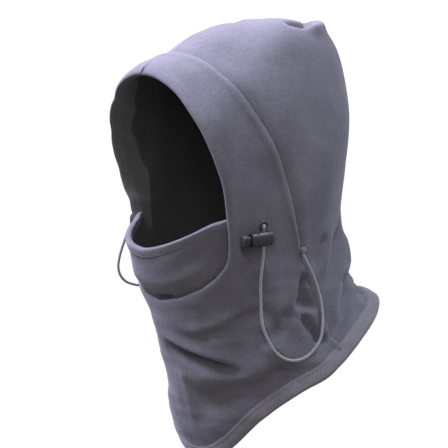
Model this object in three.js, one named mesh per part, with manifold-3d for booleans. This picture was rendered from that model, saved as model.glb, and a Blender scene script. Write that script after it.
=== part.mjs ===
// A fleece balaclava: a lined hood that covers head, neck and collar, with a face opening, a mask panel
// across the mouth, a drawcord round the brim and a sprung cord lock on each side.
// Units are millimetres and +Z is up. The wearer looks along -Y and the wearer's left is +X.
// The origin is the middle of the wearer's head, at the height of the ears.

import * as THREE from 'three';
import { mergeVertices } from 'three/addons/utils/BufferGeometryUtils.js';
import Module from 'manifold-3d';

// ---- Driving dimensions ----

const SHELL = 2.2;           // outer fleece
const LINING = 1.8;          // inner fleece
const LOOSE = 4.4;           // slack between the two, where the drawcord runs
const EDGE_LOOSE = 1.0;      // the same at the brim, where they are sewn together
const GAP = 0.3;             // between pieces that touch
const SEAM_GAP = 0.5;        // between two panels sewn edge to edge
const FACING_TOP = 26;       // width of the facing inside the brim, over the forehead
const FACING_BOTTOM = 13;    // and under the chin
const MASK_TUCK = 4;         // how far inside the lining the mask's ends lie

const CORD_RADIUS = 1.3;
const CORD_SIDES = 8;
const DRAWCORD_STEPS = 80;
const LOOP_STEPS = 40;
const CHANNEL_INSET = 12;    // drawcord behind the brim's edge
const BINDING = 1.0;         // folded tape on the hem and on the mask
const HEM_HEIGHT = 13;
const HEM_CLEAR = 0.85;       // between the hem's tape and the cloth it folds round

const LOCK = { length: 23, height: 12.5, depth: 10, bore: 8.4, boreDepth: 6.8, wall: 2.4, hole: 2.2 };
const PLUNGER = {
  height: 7.8, depth: 6.0, travel: 3.5, backWall: 1.6, headLength: 4.5, headHeight: 10.5, headDepth: 8.6,
};
const CORD_IN_LOCK = 1.5;    // the cord's hole, from the middle of the lock towards its closed end
const SPRING = { wire: 0.3, coil: 2.3, turns: 4 };
const EYELET = { hole: 2.6, flange: 4.5, thickness: 0.9, innerThickness: 0.4 };
const EYELET_BARREL = EYELET.hole + 0.8;
const TACK = { width: 6, height: 5, depth: 3.2 };

// The hood's outer surface is a stack of closed rings from the crown down to the hem. Each ring gives the
// [y, z] of its front, side and back, half its width, how much its front quarters are lifted, and how
// square its front corners are.
const RINGS = [
  { front: [38, 191], side: [38, 191], back: [38, 191], half: 0, lift: 0, square: 0 },
  { front: [2, 187], side: [42, 187], back: [80, 192], half: 36, lift: 0, square: 0 },
  { front: [-30, 177], side: [34, 172], back: [104, 189], half: 57, lift: 0, square: 0 },
  { front: [-60, 161], side: [24, 147], back: [117, 172], half: 72, lift: 0, square: 0 },
  { front: [-86, 146], side: [16, 116], back: [124, 142], half: 85, lift: 0, square: 0.04 },
  { front: [-102, 112], side: [10, 80], back: [127, 104], half: 91, lift: 0, square: 0.10 },
  { front: [-108, 66], side: [8, 40], back: [126, 60], half: 91, lift: 0, square: 0.12 },
  { front: [-103, 20], side: [8, 4], back: [119, 14], half: 87, lift: 0, square: 0.10 },
  { front: [-92, -28], side: [10, -30], back: [126, -14], half: 83, lift: 0, square: 0.06 },
  { front: [-70, -74], side: [16, -62], back: [140, -38], half: 84, lift: 0, square: 0.03 },
  { front: [-56, -122], side: [28, -90], back: [139, -56], half: 90, lift: 2, square: 0.02 },
  { front: [-44, -170], side: [40, -110], back: [144, -64], half: 98, lift: 8, square: 0.02 },
  { front: [-27, -219], side: [52, -127], back: [155, -70], half: 106, lift: 24, square: 0.02 },
];

// Points on that surface are given as [r, angle]: r is 0 at the crown and 1 at the hem, and the angle in
// degrees is 0 at the front and 180 at the back. The brim's edge and the seam behind it run in step, so
// each row of PANEL_LINES is one line across the front panel, from the edge of the face opening to the
// seam, and `back` is where the crown panel's line meets the back's centre line. The row at HEM_CORNER
// reaches the hem, and the rows after it end along the hem.
const PANEL_LINES = [
  { brim: [0.355, 0], seam: [0.245, 0], back: -0.245 },
  { brim: [0.365, 15], seam: [0.255, 20], back: -0.12 },
  { brim: [0.385, 26], seam: [0.275, 38], back: 0.0 },
  { brim: [0.415, 35], seam: [0.305, 50], back: 0.10 },
  { brim: [0.45, 44], seam: [0.345, 63], back: 0.20 },
  { brim: [0.483, 50], seam: [0.39, 74], back: 0.30 },
  { brim: [0.525, 55], seam: [0.46, 86], back: 0.42 },
  { brim: [0.59, 57.5], seam: [0.56, 94], back: 0.56 },
  { brim: [0.63, 58], seam: [0.68, 101], back: 0.70 },
  { brim: [0.662, 56.3], seam: [0.84, 102], back: 0.85 },
  { brim: [0.683, 51.2], seam: [1, 97], back: 1 },
  { brim: [0.702, 43], seam: [1, 75] },
  { brim: [0.719, 31.5], seam: [1, 50] },
  { brim: [0.733, 16.5], seam: [1, 25] },
  { brim: [0.74, 0], seam: [1, 0] },
];
const HEM_CORNER = 10;
const LAST_LINE = PANEL_LINES.length - 1;

// The mask: r of its top and bottom edges, at its middle and at its ends, and the angle its ends reach.
const MASK = { topMiddle: 0.653, topEnd: 0.585, bottomMiddle: 0.77, bottomEnd: 0.67, reach: 61 };
const MASK_CURVE = 1.6;      // how late along the top edge it rises to its ends
const MASK_EDGE = 0.03;      // share of the mask's height above the cloth's top edge, for the tape's fold
const MASK_TAPE = 0.13;      // and down to the tape's lower edge
const MASK_STEPS = 20;

// Cord locks and eyelets, by place on the surface. The locks hang on the cord, so each has its own turn.
const LOCK_AT = { left: [0.612, 74.5], right: [0.597, 69.5] };
const LOCK_STAND = 6.8;
const LOCK_TURN = { left: 6, right: 82 };
const EYELET_AT = [0.588, 77];
const TACK_AT = [0.645, 99.5];
const TACK_STAND = 2.6;

// Free run of the cord on each side, from the cord lock to the seam where its end is sewn in.
const LOOP_LEFT = [
  [89.8, -19.3, -13.3], [89.4, -19, -16.5], [88.6, -18.8, -22], [87.6, -19.2, -30], [86.2, -19.6, -40],
  [84.6, -19.2, -51], [83.5, -18, -64], [82.6, -17, -76], [83, -15, -89], [85, -11, -100], [87.2, -6, -109],
  [90, -1, -115], [93, 5, -118.5], [95.5, 12, -119.5], [97.5, 19, -118], [98.5, 26, -114.5],
  [98.8, 33, -108], [97.5, 39.5, -100], [94.5, 43.5, -90], [91.5, 46, -80], [88.8, 46.8, -71],
  [86.6, 46, -62], [85.7, 42.5, -51], [85.6, 37.5, -40.5], [85.5, 32, -31], [85, 28.1, -23.8],
];
const LOOP_RIGHT = [
  [-88.9, -36.7, 1.7], [-89, -39.2, 2.2], [-89.6, -41.6, 1.9], [-91.8, -43.6, -0.5], [-94.7, -45, -5.5],
  [-97.6, -46.6, -12], [-100.1, -48.1, -20], [-102.4, -49.9, -28.2], [-104, -51.4, -36.4],
  [-104.9, -52.1, -44.8], [-104.3, -50.3, -53], [-102, -45, -59.5], [-98.9, -37.5, -62.6],
  [-95.9, -28.8, -64], [-93.2, -18.5, -65.2], [-91, -8, -66], [-89, 3, -66.3], [-87.4, 13.5, -64.5],
  [-86.3, 23, -59.5], [-85.7, 29, -51.5], [-85.6, 31.3, -42], [-85.4, 30.6, -32.5], [-85, 28.1, -23.8],
];

// ---- Small helpers ----

const radians = THREE.MathUtils.degToRad;
const lerp = THREE.MathUtils.lerp;
const smooth = THREE.MathUtils.smoothstep;

// Value at f between b and c on the smooth curve through a, b, c, d.
function glide(a, b, c, d, f) {
  const cubic = -a + 3 * b - 3 * c + d;
  const square = 2 * a - 5 * b + 4 * c - d;
  return 0.5 * (2 * b + (c - a) * f + square * f * f + cubic * f * f * f);
}

function steps(from, to, count) {
  return Array.from({ length: count + 1 }, (_, i) => lerp(from, to, i / count));
}

// A disc point [r, angle] as x and y on a flat disc, front down, and back.
function toDisc([r, angle]) {
  return new THREE.Vector2(r * Math.sin(radians(angle)), -r * Math.cos(radians(angle)));
}

// ---- The hood's surface ----

function ringValues(r) {
  const last = RINGS.length - 1;
  const u = Math.min(Math.max(r, 0), 1.02) * last;
  const i = Math.min(Math.floor(u), last - 1);
  const f = u - i;
  const through = (pick, pickAcross, flip) => {
    const before = i === 0 ? flip * pickAcross(RINGS[1]) : pick(RINGS[i - 1]);
    const b = pick(RINGS[i]);
    const c = pick(RINGS[i + 1]);
    const after = i + 2 > last ? 2 * c - b : pick(RINGS[i + 2]);
    return glide(before, b, c, after, f);
  };
  const same = (pick, flip = 1) => through(pick, pick, flip);
  return {
    yFront: through((g) => g.front[0], (g) => g.back[0], 1),
    zFront: through((g) => g.front[1], (g) => g.back[1], 1),
    yBack: through((g) => g.back[0], (g) => g.front[0], 1),
    zBack: through((g) => g.back[1], (g) => g.front[1], 1),
    ySide: same((g) => g.side[0]),
    zSide: same((g) => g.side[1]),
    half: same((g) => g.half, -1),
    lift: same((g) => g.lift),
    square: same((g) => g.square),
  };
}

function surfacePoint(disc) {
  const g = ringValues(disc.length());
  const angle = Math.atan2(disc.x, -disc.y);
  const c = Math.cos(angle);
  const s = Math.sin(angle);
  const front = (1 + c) / 2;
  const x = g.half * (s + g.square * front * (Math.sin(3 * angle) + s));
  const y = g.ySide - (c >= 0 ? g.ySide - g.yFront : g.yBack - g.ySide) * c;
  const mean = (g.zFront + g.zBack + 2 * g.zSide) / 4;
  const saddle = (g.zFront + g.zBack - 2 * g.zSide) / 4;
  const lift = g.lift * front * (1 - Math.cos(4 * angle)) / 2;
  return new THREE.Vector3(x, y, mean + (g.zFront - g.zBack) / 2 * c + saddle * Math.cos(2 * angle) + lift);
}

// The outward normal, from two short steps on the disc.
function surfaceNormal(disc) {
  const step = 0.004;
  const across = new THREE.Vector2(step, 0);
  const along = new THREE.Vector2(0, step);
  const slope = (d) => surfacePoint(disc.clone().add(d)).sub(surfacePoint(disc.clone().sub(d)));
  return slope(across).cross(slope(along)).normalize();
}

// A point that lies `inward` mm inside the surface.
function offsetPoint(disc, inward) {
  return surfacePoint(disc).addScaledVector(surfaceNormal(disc), -inward);
}

// ---- Panels on the disc ----

function alongLines(key, s, first, last, mirrorEnd) {
  const i = Math.min(Math.max(Math.floor(s), first), last - 1);
  const at = (k) => toDisc(PANEL_LINES[k][key]);
  const mirrored = (p) => new THREE.Vector2(-p.x, p.y);
  const b = at(i);
  const c = at(i + 1);
  const a = i > first ? at(i - 1) : mirrored(at(first + 1));
  let d = i + 2 <= last ? at(i + 2) : c.clone().multiplyScalar(2).sub(b);
  if (i + 2 > last && mirrorEnd) d = mirrored(at(last - 1));
  const f = s - i;
  return new THREE.Vector2(glide(a.x, b.x, c.x, d.x, f), glide(a.y, b.y, c.y, d.y, f));
}

const brimEdge = (s) => alongLines('brim', s, 0, LAST_LINE, true);

function seamOrHem(s) {
  if (s <= HEM_CORNER) return alongLines('seam', s, 0, HEM_CORNER, false);
  const i = Math.min(Math.floor(s), LAST_LINE - 1);
  const angle = lerp(PANEL_LINES[i].seam[1], PANEL_LINES[i + 1].seam[1], s - i);
  return toDisc([1, angle]);
}

// From the brim's edge (t = 0) to the seam or the hem (t = 1).
const frontDisc = (s, t) => brimEdge(s).lerp(seamOrHem(s), t);

// From the seam (t = 0) to the back's centre line (t = 1). Near the crown the lines are straight on the
// disc, and lower down they turn round the head.
function crownDisc(s, t) {
  const i = Math.min(Math.floor(s), HEM_CORNER - 1);
  const centre = new THREE.Vector2(0, lerp(PANEL_LINES[i].back, PANEL_LINES[i + 1].back, s - i));
  const seam = seamOrHem(s);
  const straight = seam.clone().lerp(centre, t);
  const round = smooth(s, 3, 7);
  if (round === 0) return straight;
  const seamAngle = THREE.MathUtils.radToDeg(Math.atan2(seam.x, -seam.y));
  const turned = toDisc([lerp(seam.length(), centre.y, t), lerp(seamAngle, 180, t)]);
  return straight.lerp(turned, round);
}

// Length in mm of the line across a panel, to turn widths in mm into shares of t.
function lineLength(map, s) {
  const parts = steps(0, 1, 8).map((t) => surfacePoint(map(s, t)));
  return parts.slice(1).reduce((sum, p, i) => sum + p.distanceTo(parts[i]), 0);
}

// ---- Closed solids from grids ----

function solidFrom(positions, triangles) {
  const geometry = new THREE.BufferGeometry();
  geometry.setAttribute('position', new THREE.Float32BufferAttribute(positions, 3));
  geometry.setIndex(triangles);
  return geometry;
}

// A sheet of cloth with thickness. outer and inner are grids of points, rows by columns, of the same size.
function sheetSolid(outer, inner) {
  const rows = outer.length;
  const columns = outer[0].length;
  const [foot, end] = [rows - 1, columns - 1];
  const positions = [...outer, ...inner].flat().flatMap((p) => p.toArray());
  const at = (side, row, column) => (side * rows + row) * columns + column;
  const triangles = [];
  const quad = (a, b, c, d) => triangles.push(a, b, c, a, c, d);
  for (let i = 0; i + 1 < rows; i++) {
    for (let j = 0; j + 1 < columns; j++) {
      quad(at(0, i, j), at(0, i, j + 1), at(0, i + 1, j + 1), at(0, i + 1, j));
      quad(at(1, i, j), at(1, i + 1, j), at(1, i + 1, j + 1), at(1, i, j + 1));
    }
    quad(at(0, i, 0), at(0, i + 1, 0), at(1, i + 1, 0), at(1, i, 0));
    quad(at(0, i, end), at(1, i, end), at(1, i + 1, end), at(0, i + 1, end));
  }
  for (let j = 0; j + 1 < columns; j++) {
    quad(at(0, 0, j), at(1, 0, j), at(1, 0, j + 1), at(0, 0, j + 1));
    quad(at(0, foot, j), at(0, foot, j + 1), at(1, foot, j + 1), at(1, foot, j));
  }
  return facingOut(solidFrom(positions, triangles));
}

// A bar: closed cross-sections, each a ring of points in the same order, joined in a row and capped.
function barSolid(sections) {
  const size = sections[0].length;
  const positions = sections.flat().flatMap((p) => p.toArray());
  const triangles = [];
  for (let i = 0; i + 1 < sections.length; i++) {
    for (let j = 0; j < size; j++) {
      const a = i * size + j;
      const b = i * size + (j + 1) % size;
      triangles.push(a, b, b + size, a, b + size, a + size);
    }
  }
  const capEnds = capTriangles(sections[0]);
  const last = (sections.length - 1) * size;
  capEnds.forEach(([a, b, c]) => triangles.push(a, c, b, last + a, last + b, last + c));
  return facingOut(solidFrom(positions, triangles));
}

// Triangles over a flat ring of points, which may be hollow on one side.
function capTriangles(ring) {
  const normal = new THREE.Vector3();
  ring.forEach((p, i) => normal.add(p.clone().cross(ring[(i + 1) % ring.length])));
  normal.normalize();
  const across = ring[1].clone().sub(ring[0]).normalize();
  const up = normal.clone().cross(across);
  const flat = ring.map((p) => new THREE.Vector2(p.dot(across), p.dot(up)));
  return THREE.ShapeUtils.triangulateShape(flat, []);
}

function signedVolume(geometry) {
  const p = geometry.getAttribute('position');
  const index = geometry.index.array;
  const corner = (k) => new THREE.Vector3().fromBufferAttribute(p, index[k]);
  let volume = 0;
  for (let k = 0; k < index.length; k += 3) volume += corner(k).dot(corner(k + 1).cross(corner(k + 2))) / 6;
  return volume;
}

function facingOut(geometry) {
  if (signedVolume(geometry) < 0) {
    const index = geometry.index.array;
    for (let k = 0; k < index.length; k += 3) [index[k + 1], index[k + 2]] = [index[k + 2], index[k + 1]];
  }
  return geometry;
}

// The wearer's right side, as a mirror image.
function mirrored(geometry) {
  const copy = geometry.clone();
  copy.applyMatrix4(new THREE.Matrix4().makeScale(-1, 1, 1));
  return facingOut(copy);
}

// A piece of one side's panel, kept clear of the centre line and of the panel sewn to it.
function panelSolid(map, sValues, tValues, outerInset, innerInset) {
  const grid = (inset) => sValues.map((s) => tValues(s).map((t) => {
    const point = offsetPoint(map(s, t), inset(s, t));
    point.x = Math.max(point.x, SEAM_GAP / 2);
    return point;
  }));
  return sheetSolid(grid(outerInset), grid(innerInset));
}

// ---- Fabric pieces ----

const FRONT_STEPS = steps(0, LAST_LINE, 2 * LAST_LINE);
const CROWN_STEPS = [0.06, ...steps(0.5, HEM_CORNER, 2 * HEM_CORNER - 1)];
const clearOfSeam = (map, s) => SEAM_GAP / 2 / lineLength(map, s);
const liningInset = () => SHELL + LOOSE;

function frontPanel() {
  const t = (s) => steps(0, s > HEM_CORNER ? 1 : 1 - clearOfSeam(frontDisc, s), 5);
  return panelSolid(frontDisc, FRONT_STEPS, t, () => 0, () => SHELL);
}

function crownPanel() {
  const t = (s) => steps(clearOfSeam(crownDisc, s), 1, 8);
  return panelSolid(crownDisc, CROWN_STEPS, t, () => 0, () => SHELL);
}

// Share of the front panel's line that the facing takes up.
function facingShare(s) {
  const width = lerp(FACING_TOP, FACING_BOTTOM, smooth(s, 6, HEM_CORNER));
  return width / lineLength(frontDisc, s);
}

function brimFacing() {
  const inset = (s, t) => lerp(SHELL + EDGE_LOOSE, liningInset(), smooth(t, 0, 0.3 * facingShare(s)));
  const t = (s) => [0, 0.3, 0.65, 1].map((share) => share * facingShare(s));
  return panelSolid(frontDisc, FRONT_STEPS, t, inset, (s, u) => inset(s, u) + LINING);
}

function frontLining() {
  const from = (s) => facingShare(s) + 2 * clearOfSeam(frontDisc, s);
  const to = (s) => (s > HEM_CORNER ? 1 : 1 - clearOfSeam(frontDisc, s));
  const t = (s) => steps(from(s), to(s), 3);
  return panelSolid(frontDisc, FRONT_STEPS, t, liningInset, () => liningInset() + LINING);
}

function crownLining() {
  const t = (s) => steps(clearOfSeam(crownDisc, s), 1, 8);
  return panelSolid(crownDisc, CROWN_STEPS, t, liningInset, () => liningInset() + LINING);
}

// A place on the mask: u runs from the right end (-1) to the left end (1), v from the top edge down.
function maskDisc(u, v) {
  const top = lerp(MASK.topMiddle, MASK.topEnd, Math.abs(u) ** MASK_CURVE);
  const bottom = lerp(MASK.bottomMiddle, MASK.bottomEnd, u * u);
  return toDisc([lerp(top, bottom, v), MASK.reach * u]);
}

// The mask's ends and bottom lie inside the lining, and its top middle stands out over the mouth and nose.
function maskInset(u, v) {
  const tucked = SHELL + LOOSE + LINING + MASK_TUCK;
  const middle = 1 - smooth(Math.abs(u), 0.2, 0.85);
  const top = 1 - smooth(v, 0.3, 0.95);
  return tucked - (tucked + 0.5) * middle * top;
}

function maskLayer(from, thickness) {
  const rows = [MASK_EDGE, MASK_TAPE, ...steps(MASK_TAPE, 1, 4).slice(1)];
  const grid = (depth) => steps(-1, 1, MASK_STEPS).map((u) => rows.map((v) =>
    offsetPoint(maskDisc(u, v), maskInset(u, v) + depth)));
  return sheetSolid(grid(from), grid(from + thickness));
}

// The folded tape over the mask's top edge, as a hollow U in section.
function maskBinding() {
  const thickness = SHELL + GAP + LINING;
  const legs = [-GAP - BINDING, -GAP, thickness + GAP, thickness + GAP + BINDING];
  const [fold, cloth] = [0, MASK_EDGE - 0.01];
  const section = (u) => {
    const at = (v, depth) => offsetPoint(maskDisc(u, v), maskInset(u, Math.max(v, MASK_EDGE)) + depth);
    return [at(MASK_TAPE, legs[0]), at(fold, legs[0]), at(fold, legs[3]), at(MASK_TAPE, legs[3]),
      at(MASK_TAPE, legs[2]), at(cloth, legs[2]), at(cloth, legs[1]), at(MASK_TAPE, legs[1])];
  };
  return barSolid(steps(-1, 1, MASK_STEPS).map(section));
}

// The hem tape: a U round the lower edge of shell and lining, open at the top.
function hemSection(angle) {
  const disc = toDisc([1, angle]);
  const short = 0.02;
  const down = surfacePoint(disc).sub(surfacePoint(toDisc([1 - short, angle])));
  const upper = toDisc([1 - short * HEM_HEIGHT / down.length(), angle]);
  down.normalize();
  const low = (depth, drop) => offsetPoint(disc, depth).addScaledVector(down, drop);
  const high = (depth) => offsetPoint(upper, depth);
  const clothInside = liningInset() + LINING;
  const [out, outFace] = [-HEM_CLEAR - BINDING, -HEM_CLEAR];
  const [inFace, inside] = [clothInside + HEM_CLEAR, clothInside + HEM_CLEAR + BINDING];
  const ring = [high(out), low(out, HEM_CLEAR + BINDING), low(inside, HEM_CLEAR + BINDING), high(inside),
    high(inFace), low(inFace, HEM_CLEAR), low(outFace, HEM_CLEAR), high(outFace)];
  ring.forEach((p) => { p.x = Math.max(p.x, SEAM_GAP / 2); });
  return ring;
}

// Its sections stand at the same angles as the ends of the panels' lines.
function hemBand() {
  const hemEnds = PANEL_LINES.slice(HEM_CORNER).map((line) => line.seam[1]).reverse();
  const front = hemEnds.slice(1).flatMap((to, i) => steps(hemEnds[i], to, 2).slice(1));
  const back = steps(hemEnds.at(-1), 180, 8).slice(1);
  return barSolid([0, ...front, ...back].map(hemSection));
}

// ---- Cords ----

function tubeAlong(points, radius, sides, count) {
  const curve = new THREE.CatmullRomCurve3(points, false, 'centripetal');
  const section = new THREE.Shape();
  steps(0, 2 * Math.PI, sides).slice(0, sides).forEach((a, i) => {
    const corner = [radius * Math.cos(a), radius * Math.sin(a)];
    if (i === 0) section.moveTo(...corner);
    else section.lineTo(...corner);
  });
  return new THREE.ExtrudeGeometry(section, { steps: count, extrudePath: curve, bevelEnabled: false });
}

const vectors = (list) => list.map((p) => new THREE.Vector3(...p));

// The captive run of the cord: from inside one cord lock through its eyelet, along the channel behind the
// brim and over the forehead, and out to the other cord lock.
const CHANNEL_DEPTH = SHELL + LOOSE / 2 - 0.1;
const CHANNEL_END = 6.5;     // the line across the front panel where the cord turns out to the eyelet
const BEHIND_EYELET = CHANNEL_DEPTH + 0.5;
const IN_LOCK = [-5, 0, 5.5];        // heights along the lock's hole
const IN_EYELET = [1, -1.5, -3.8];   // depths through the eyelet
const EYELET_TO_CHANNEL = [[0.582, 74], [0.577, 71.5], [0.572, 68], [0.566, 64.5]];
const AROUND_LOCK = {
  left: [[91.3, -20.7, 1.8], [89.7, -18.7, 3.2], [87.6, -17.2, 3.2]],
  right: [[-91.2, -25, 0.4], [-91.2, -21.6, 1.6], [-89.8, -18.6, 2.8], [-87.6, -17.1, 3.1]],
};

function drawcord(lockFrames, eyeletFrame) {
  const side = (name) => {
    const flip = (p) => (name === 'left' ? p : new THREE.Vector3(-p.x, p.y, p.z));
    const direction = name === 'left' ? 1 : -1;
    const inLock = IN_LOCK.map((z) =>
      new THREE.Vector3(-CORD_IN_LOCK, 0, z * direction).applyMatrix4(lockFrames[name]));
    const inEyelet = IN_EYELET.map((y) => flip(new THREE.Vector3(0, y, 0).applyMatrix4(eyeletFrame)));
    const behind = EYELET_TO_CHANNEL.map((place) => flip(offsetPoint(toDisc(place), BEHIND_EYELET)));
    return [...inLock, ...vectors(AROUND_LOCK[name]), ...inEyelet, ...behind];
  };
  const inChannel = (s) => {
    const t = CHANNEL_INSET / lineLength(frontDisc, s);
    return offsetPoint(frontDisc(s, t), CHANNEL_DEPTH);
  };
  const half = steps(CHANNEL_END, 0, 2 * CHANNEL_END).map(inChannel);
  const otherHalf = half.slice(0, -1).reverse().map((p) => new THREE.Vector3(-p.x, p.y, p.z));
  const route = [...side('left'), ...half, ...otherHalf, ...side('right').reverse()];
  return tubeAlong(route, CORD_RADIUS, CORD_SIDES, DRAWCORD_STEPS);
}

// ---- Hardware ----

// The frame of a fitting on the surface: x along the surface to the front, y outwards, z up.
function fittingFrame(place, stand, turn, side) {
  const disc = toDisc(place);
  const out = surfaceNormal(disc);
  const origin = surfacePoint(disc).addScaledVector(out, stand);
  const front = out.clone().cross(new THREE.Vector3(0, 0, 1)).normalize();
  const up = front.clone().cross(out);
  const frame = new THREE.Matrix4().makeBasis(front, out, up);
  const spin = new THREE.Matrix4().makeRotationY(radians(turn));
  const placed = new THREE.Matrix4().makeTranslation(origin).multiply(frame).multiply(spin);
  if (side === 'left') return placed;
  return new THREE.Matrix4().makeScale(-1, 1, 1).multiply(placed);
}

const wasm = await Module();
wasm.setup();
const MERGE = 1e-4;          // vertices closer than this are one vertex

function toManifold(geometry) {
  const bare = geometry.index ? geometry.toNonIndexed() : geometry.clone();
  bare.deleteAttribute('normal').deleteAttribute('uv');
  const merged = mergeVertices(bare, MERGE);
  return new wasm.Manifold(new wasm.Mesh({
    numProp: 3,
    vertProperties: new Float32Array(merged.attributes.position.array),
    triVerts: new Uint32Array(merged.index.array),
  }));
}

function fromManifold(solid) {
  const mesh = solid.getMesh();
  return solidFrom(Array.from(mesh.vertProperties), Array.from(mesh.triVerts));
}

function cut(body, ...tools) {
  return fromManifold(tools.map(toManifold).reduce((rest, tool) => rest.subtract(tool), toManifold(body)));
}

function joined(...pieces) {
  return fromManifold(pieces.map(toManifold).reduce((whole, piece) => whole.add(piece)));
}

// A bar along x with a rounded oblong section, height in z and depth in y, from x0 to x1, its ends
// bevelled.
function roundedBar(x0, x1, height, depth, round, bevel) {
  const halfHeight = height / 2 - bevel;
  const halfDepth = depth / 2 - bevel;
  const shape = new THREE.Shape();
  shape.moveTo(halfHeight - round, -halfDepth);
  shape.absarc(halfHeight - round, -halfDepth + round, round, -Math.PI / 2, 0);
  shape.absarc(halfHeight - round, halfDepth - round, round, 0, Math.PI / 2);
  shape.absarc(-halfHeight + round, halfDepth - round, round, Math.PI / 2, Math.PI);
  shape.absarc(-halfHeight + round, -halfDepth + round, round, Math.PI, 1.5 * Math.PI);
  const bar = new THREE.ExtrudeGeometry(shape, {
    depth: x1 - x0 - 2 * bevel, curveSegments: 3, bevelEnabled: bevel > 0,
    bevelThickness: bevel, bevelSize: bevel, bevelSegments: 1,
  });
  bar.translate(0, 0, x0 + bevel);
  // The shape's x becomes z, its y stays y and the extrusion's z becomes x.
  bar.applyMatrix4(new THREE.Matrix4().makeBasis(
    new THREE.Vector3(0, 0, 1), new THREE.Vector3(0, -1, 0), new THREE.Vector3(1, 0, 0)));
  return bar;
}

// The hole for the cord runs along z, stretched along x by `slot`.
function cordHole(x, slot) {
  const shape = new THREE.Shape();
  shape.absarc(x + slot, 0, LOCK.hole, -Math.PI / 2, Math.PI / 2);
  shape.absarc(x, 0, LOCK.hole, Math.PI / 2, 1.5 * Math.PI);
  const depth = 2 * LOCK.length;
  const hole = new THREE.ExtrudeGeometry(shape, { depth, curveSegments: 6, bevelEnabled: false });
  return hole.translate(0, 0, -depth / 2);
}

const LOCK_CLOSED_END = -LOCK.length / 2;
const BORE_END = LOCK_CLOSED_END + LOCK.wall;
const PLUNGER_BACK = -CORD_IN_LOCK - LOCK.hole - PLUNGER.backWall;
const HEAD_START = LOCK.length / 2 + PLUNGER.travel + 0.8;

// The lock's x axis points to its open end, where the plunger's head stands out.
function lockBody() {
  const outside = roundedBar(LOCK_CLOSED_END, LOCK.length / 2, LOCK.height, LOCK.depth, 3.4, 1.6);
  const bore = roundedBar(BORE_END, LOCK.length, LOCK.bore, LOCK.boreDepth, 1.6, 0);
  return cut(outside, bore, cordHole(-CORD_IN_LOCK, 0));
}

function lockPlunger() {
  const { height, depth, headLength, headHeight, headDepth } = PLUNGER;
  const stem = roundedBar(PLUNGER_BACK, HEAD_START + 1, height, depth, 1.4, 0);
  const head = roundedBar(HEAD_START, HEAD_START + headLength, headHeight, headDepth, 2.6, 1.2);
  return cut(joined(stem, head), cordHole(-CORD_IN_LOCK, PLUNGER.travel + 0.6));
}

function lockSpring() {
  const start = BORE_END + GAP + SPRING.wire;
  const end = PLUNGER_BACK - GAP - SPRING.wire;
  const points = steps(0, 1, SPRING.turns * 8).map((f) => {
    const angle = 2 * Math.PI * SPRING.turns * f;
    const [y, z] = [SPRING.coil * Math.cos(angle), SPRING.coil * Math.sin(angle)];
    return new THREE.Vector3(lerp(start, end, f), y, z);
  });
  return tubeAlong(points, SPRING.wire, 5, SPRING.turns * 8);
}

// A flanged ring on both faces of the outer fleece, joined by its barrel.
function eyelet() {
  const { hole, flange, thickness, innerThickness } = EYELET;
  const barrel = EYELET_BARREL;
  const outerFace = GAP + thickness;
  const innerFace = -SHELL - GAP - innerThickness;
  const profile = [[hole, innerFace], [flange, innerFace], [flange, -SHELL - GAP], [barrel, -SHELL - GAP],
    [barrel, GAP], [flange, GAP], [flange - 0.4, outerFace], [hole + 0.4, outerFace], [hole, GAP]];
  const points = [...profile, profile[0]].map(([x, y]) => new THREE.Vector2(x, y));
  return new THREE.LatheGeometry(points, 16);
}

// ---- Assembly ----

function material(color, roughness, metalness = 0) {
  return new THREE.MeshStandardMaterial({ color, roughness, metalness });
}

const fleece = () => material(0x5d5c68, 0.95);
const darkFleece = () => material(0x26242a, 0.95);
const tape = () => material(0x55545f, 0.9);
const elastic = () => material(0x7c7c86, 0.7);
const plastic = () => material(0x1c1d22, 0.45);
const steel = () => material(0xb8bcc2, 0.3, 1);

const balaclava = new THREE.Group();

function add(name, geometry, look) {
  const mesh = new THREE.Mesh(geometry, look);
  mesh.name = name;
  balaclava.add(mesh);
  return mesh;
}

function addPair(name, geometry, look) {
  add(`${name}_left`, geometry, look());
  add(`${name}_right`, mirrored(geometry), look());
}

// The eyelet's barrel passes through a hole in the front panel.
const eyeletFrame = fittingFrame(EYELET_AT, 0, 0, 'left');
const eyeletHole = new THREE.CylinderGeometry(EYELET_BARREL + GAP, EYELET_BARREL + GAP, 12, 16);
eyeletHole.applyMatrix4(eyeletFrame);

addPair('front_panel', cut(frontPanel(), eyeletHole), fleece);
addPair('crown_panel', crownPanel(), fleece);
addPair('brim_facing', brimFacing(), fleece);
addPair('front_lining', frontLining(), darkFleece);
addPair('crown_lining', crownLining(), darkFleece);
add('mask_panel', maskLayer(0, SHELL), fleece());
add('mask_lining', maskLayer(SHELL + GAP, LINING), darkFleece());
add('mask_top_binding', maskBinding(), tape());
addPair('hem_band', hemBand(), tape);
addPair('cord_eyelet', eyelet().applyMatrix4(eyeletFrame), plastic);

// A right-hand fitting's frame is a mirror image, so its triangles are turned to face out again.
function placed(geometry, frame) {
  const moved = geometry.clone().applyMatrix4(frame);
  const count = moved.attributes.position.count;
  const index = moved.index ? Array.from(moved.index.array) : Array.from({ length: count }, (_, i) => i);
  return facingOut(solidFrom(Array.from(moved.attributes.position.array), index));
}

const lockFrames = {
  left: fittingFrame(LOCK_AT.left, LOCK_STAND, LOCK_TURN.left, 'left'),
  right: fittingFrame(LOCK_AT.right, LOCK_STAND, LOCK_TURN.right, 'right'),
};
add('drawcord', drawcord(lockFrames, eyeletFrame), elastic());

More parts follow.
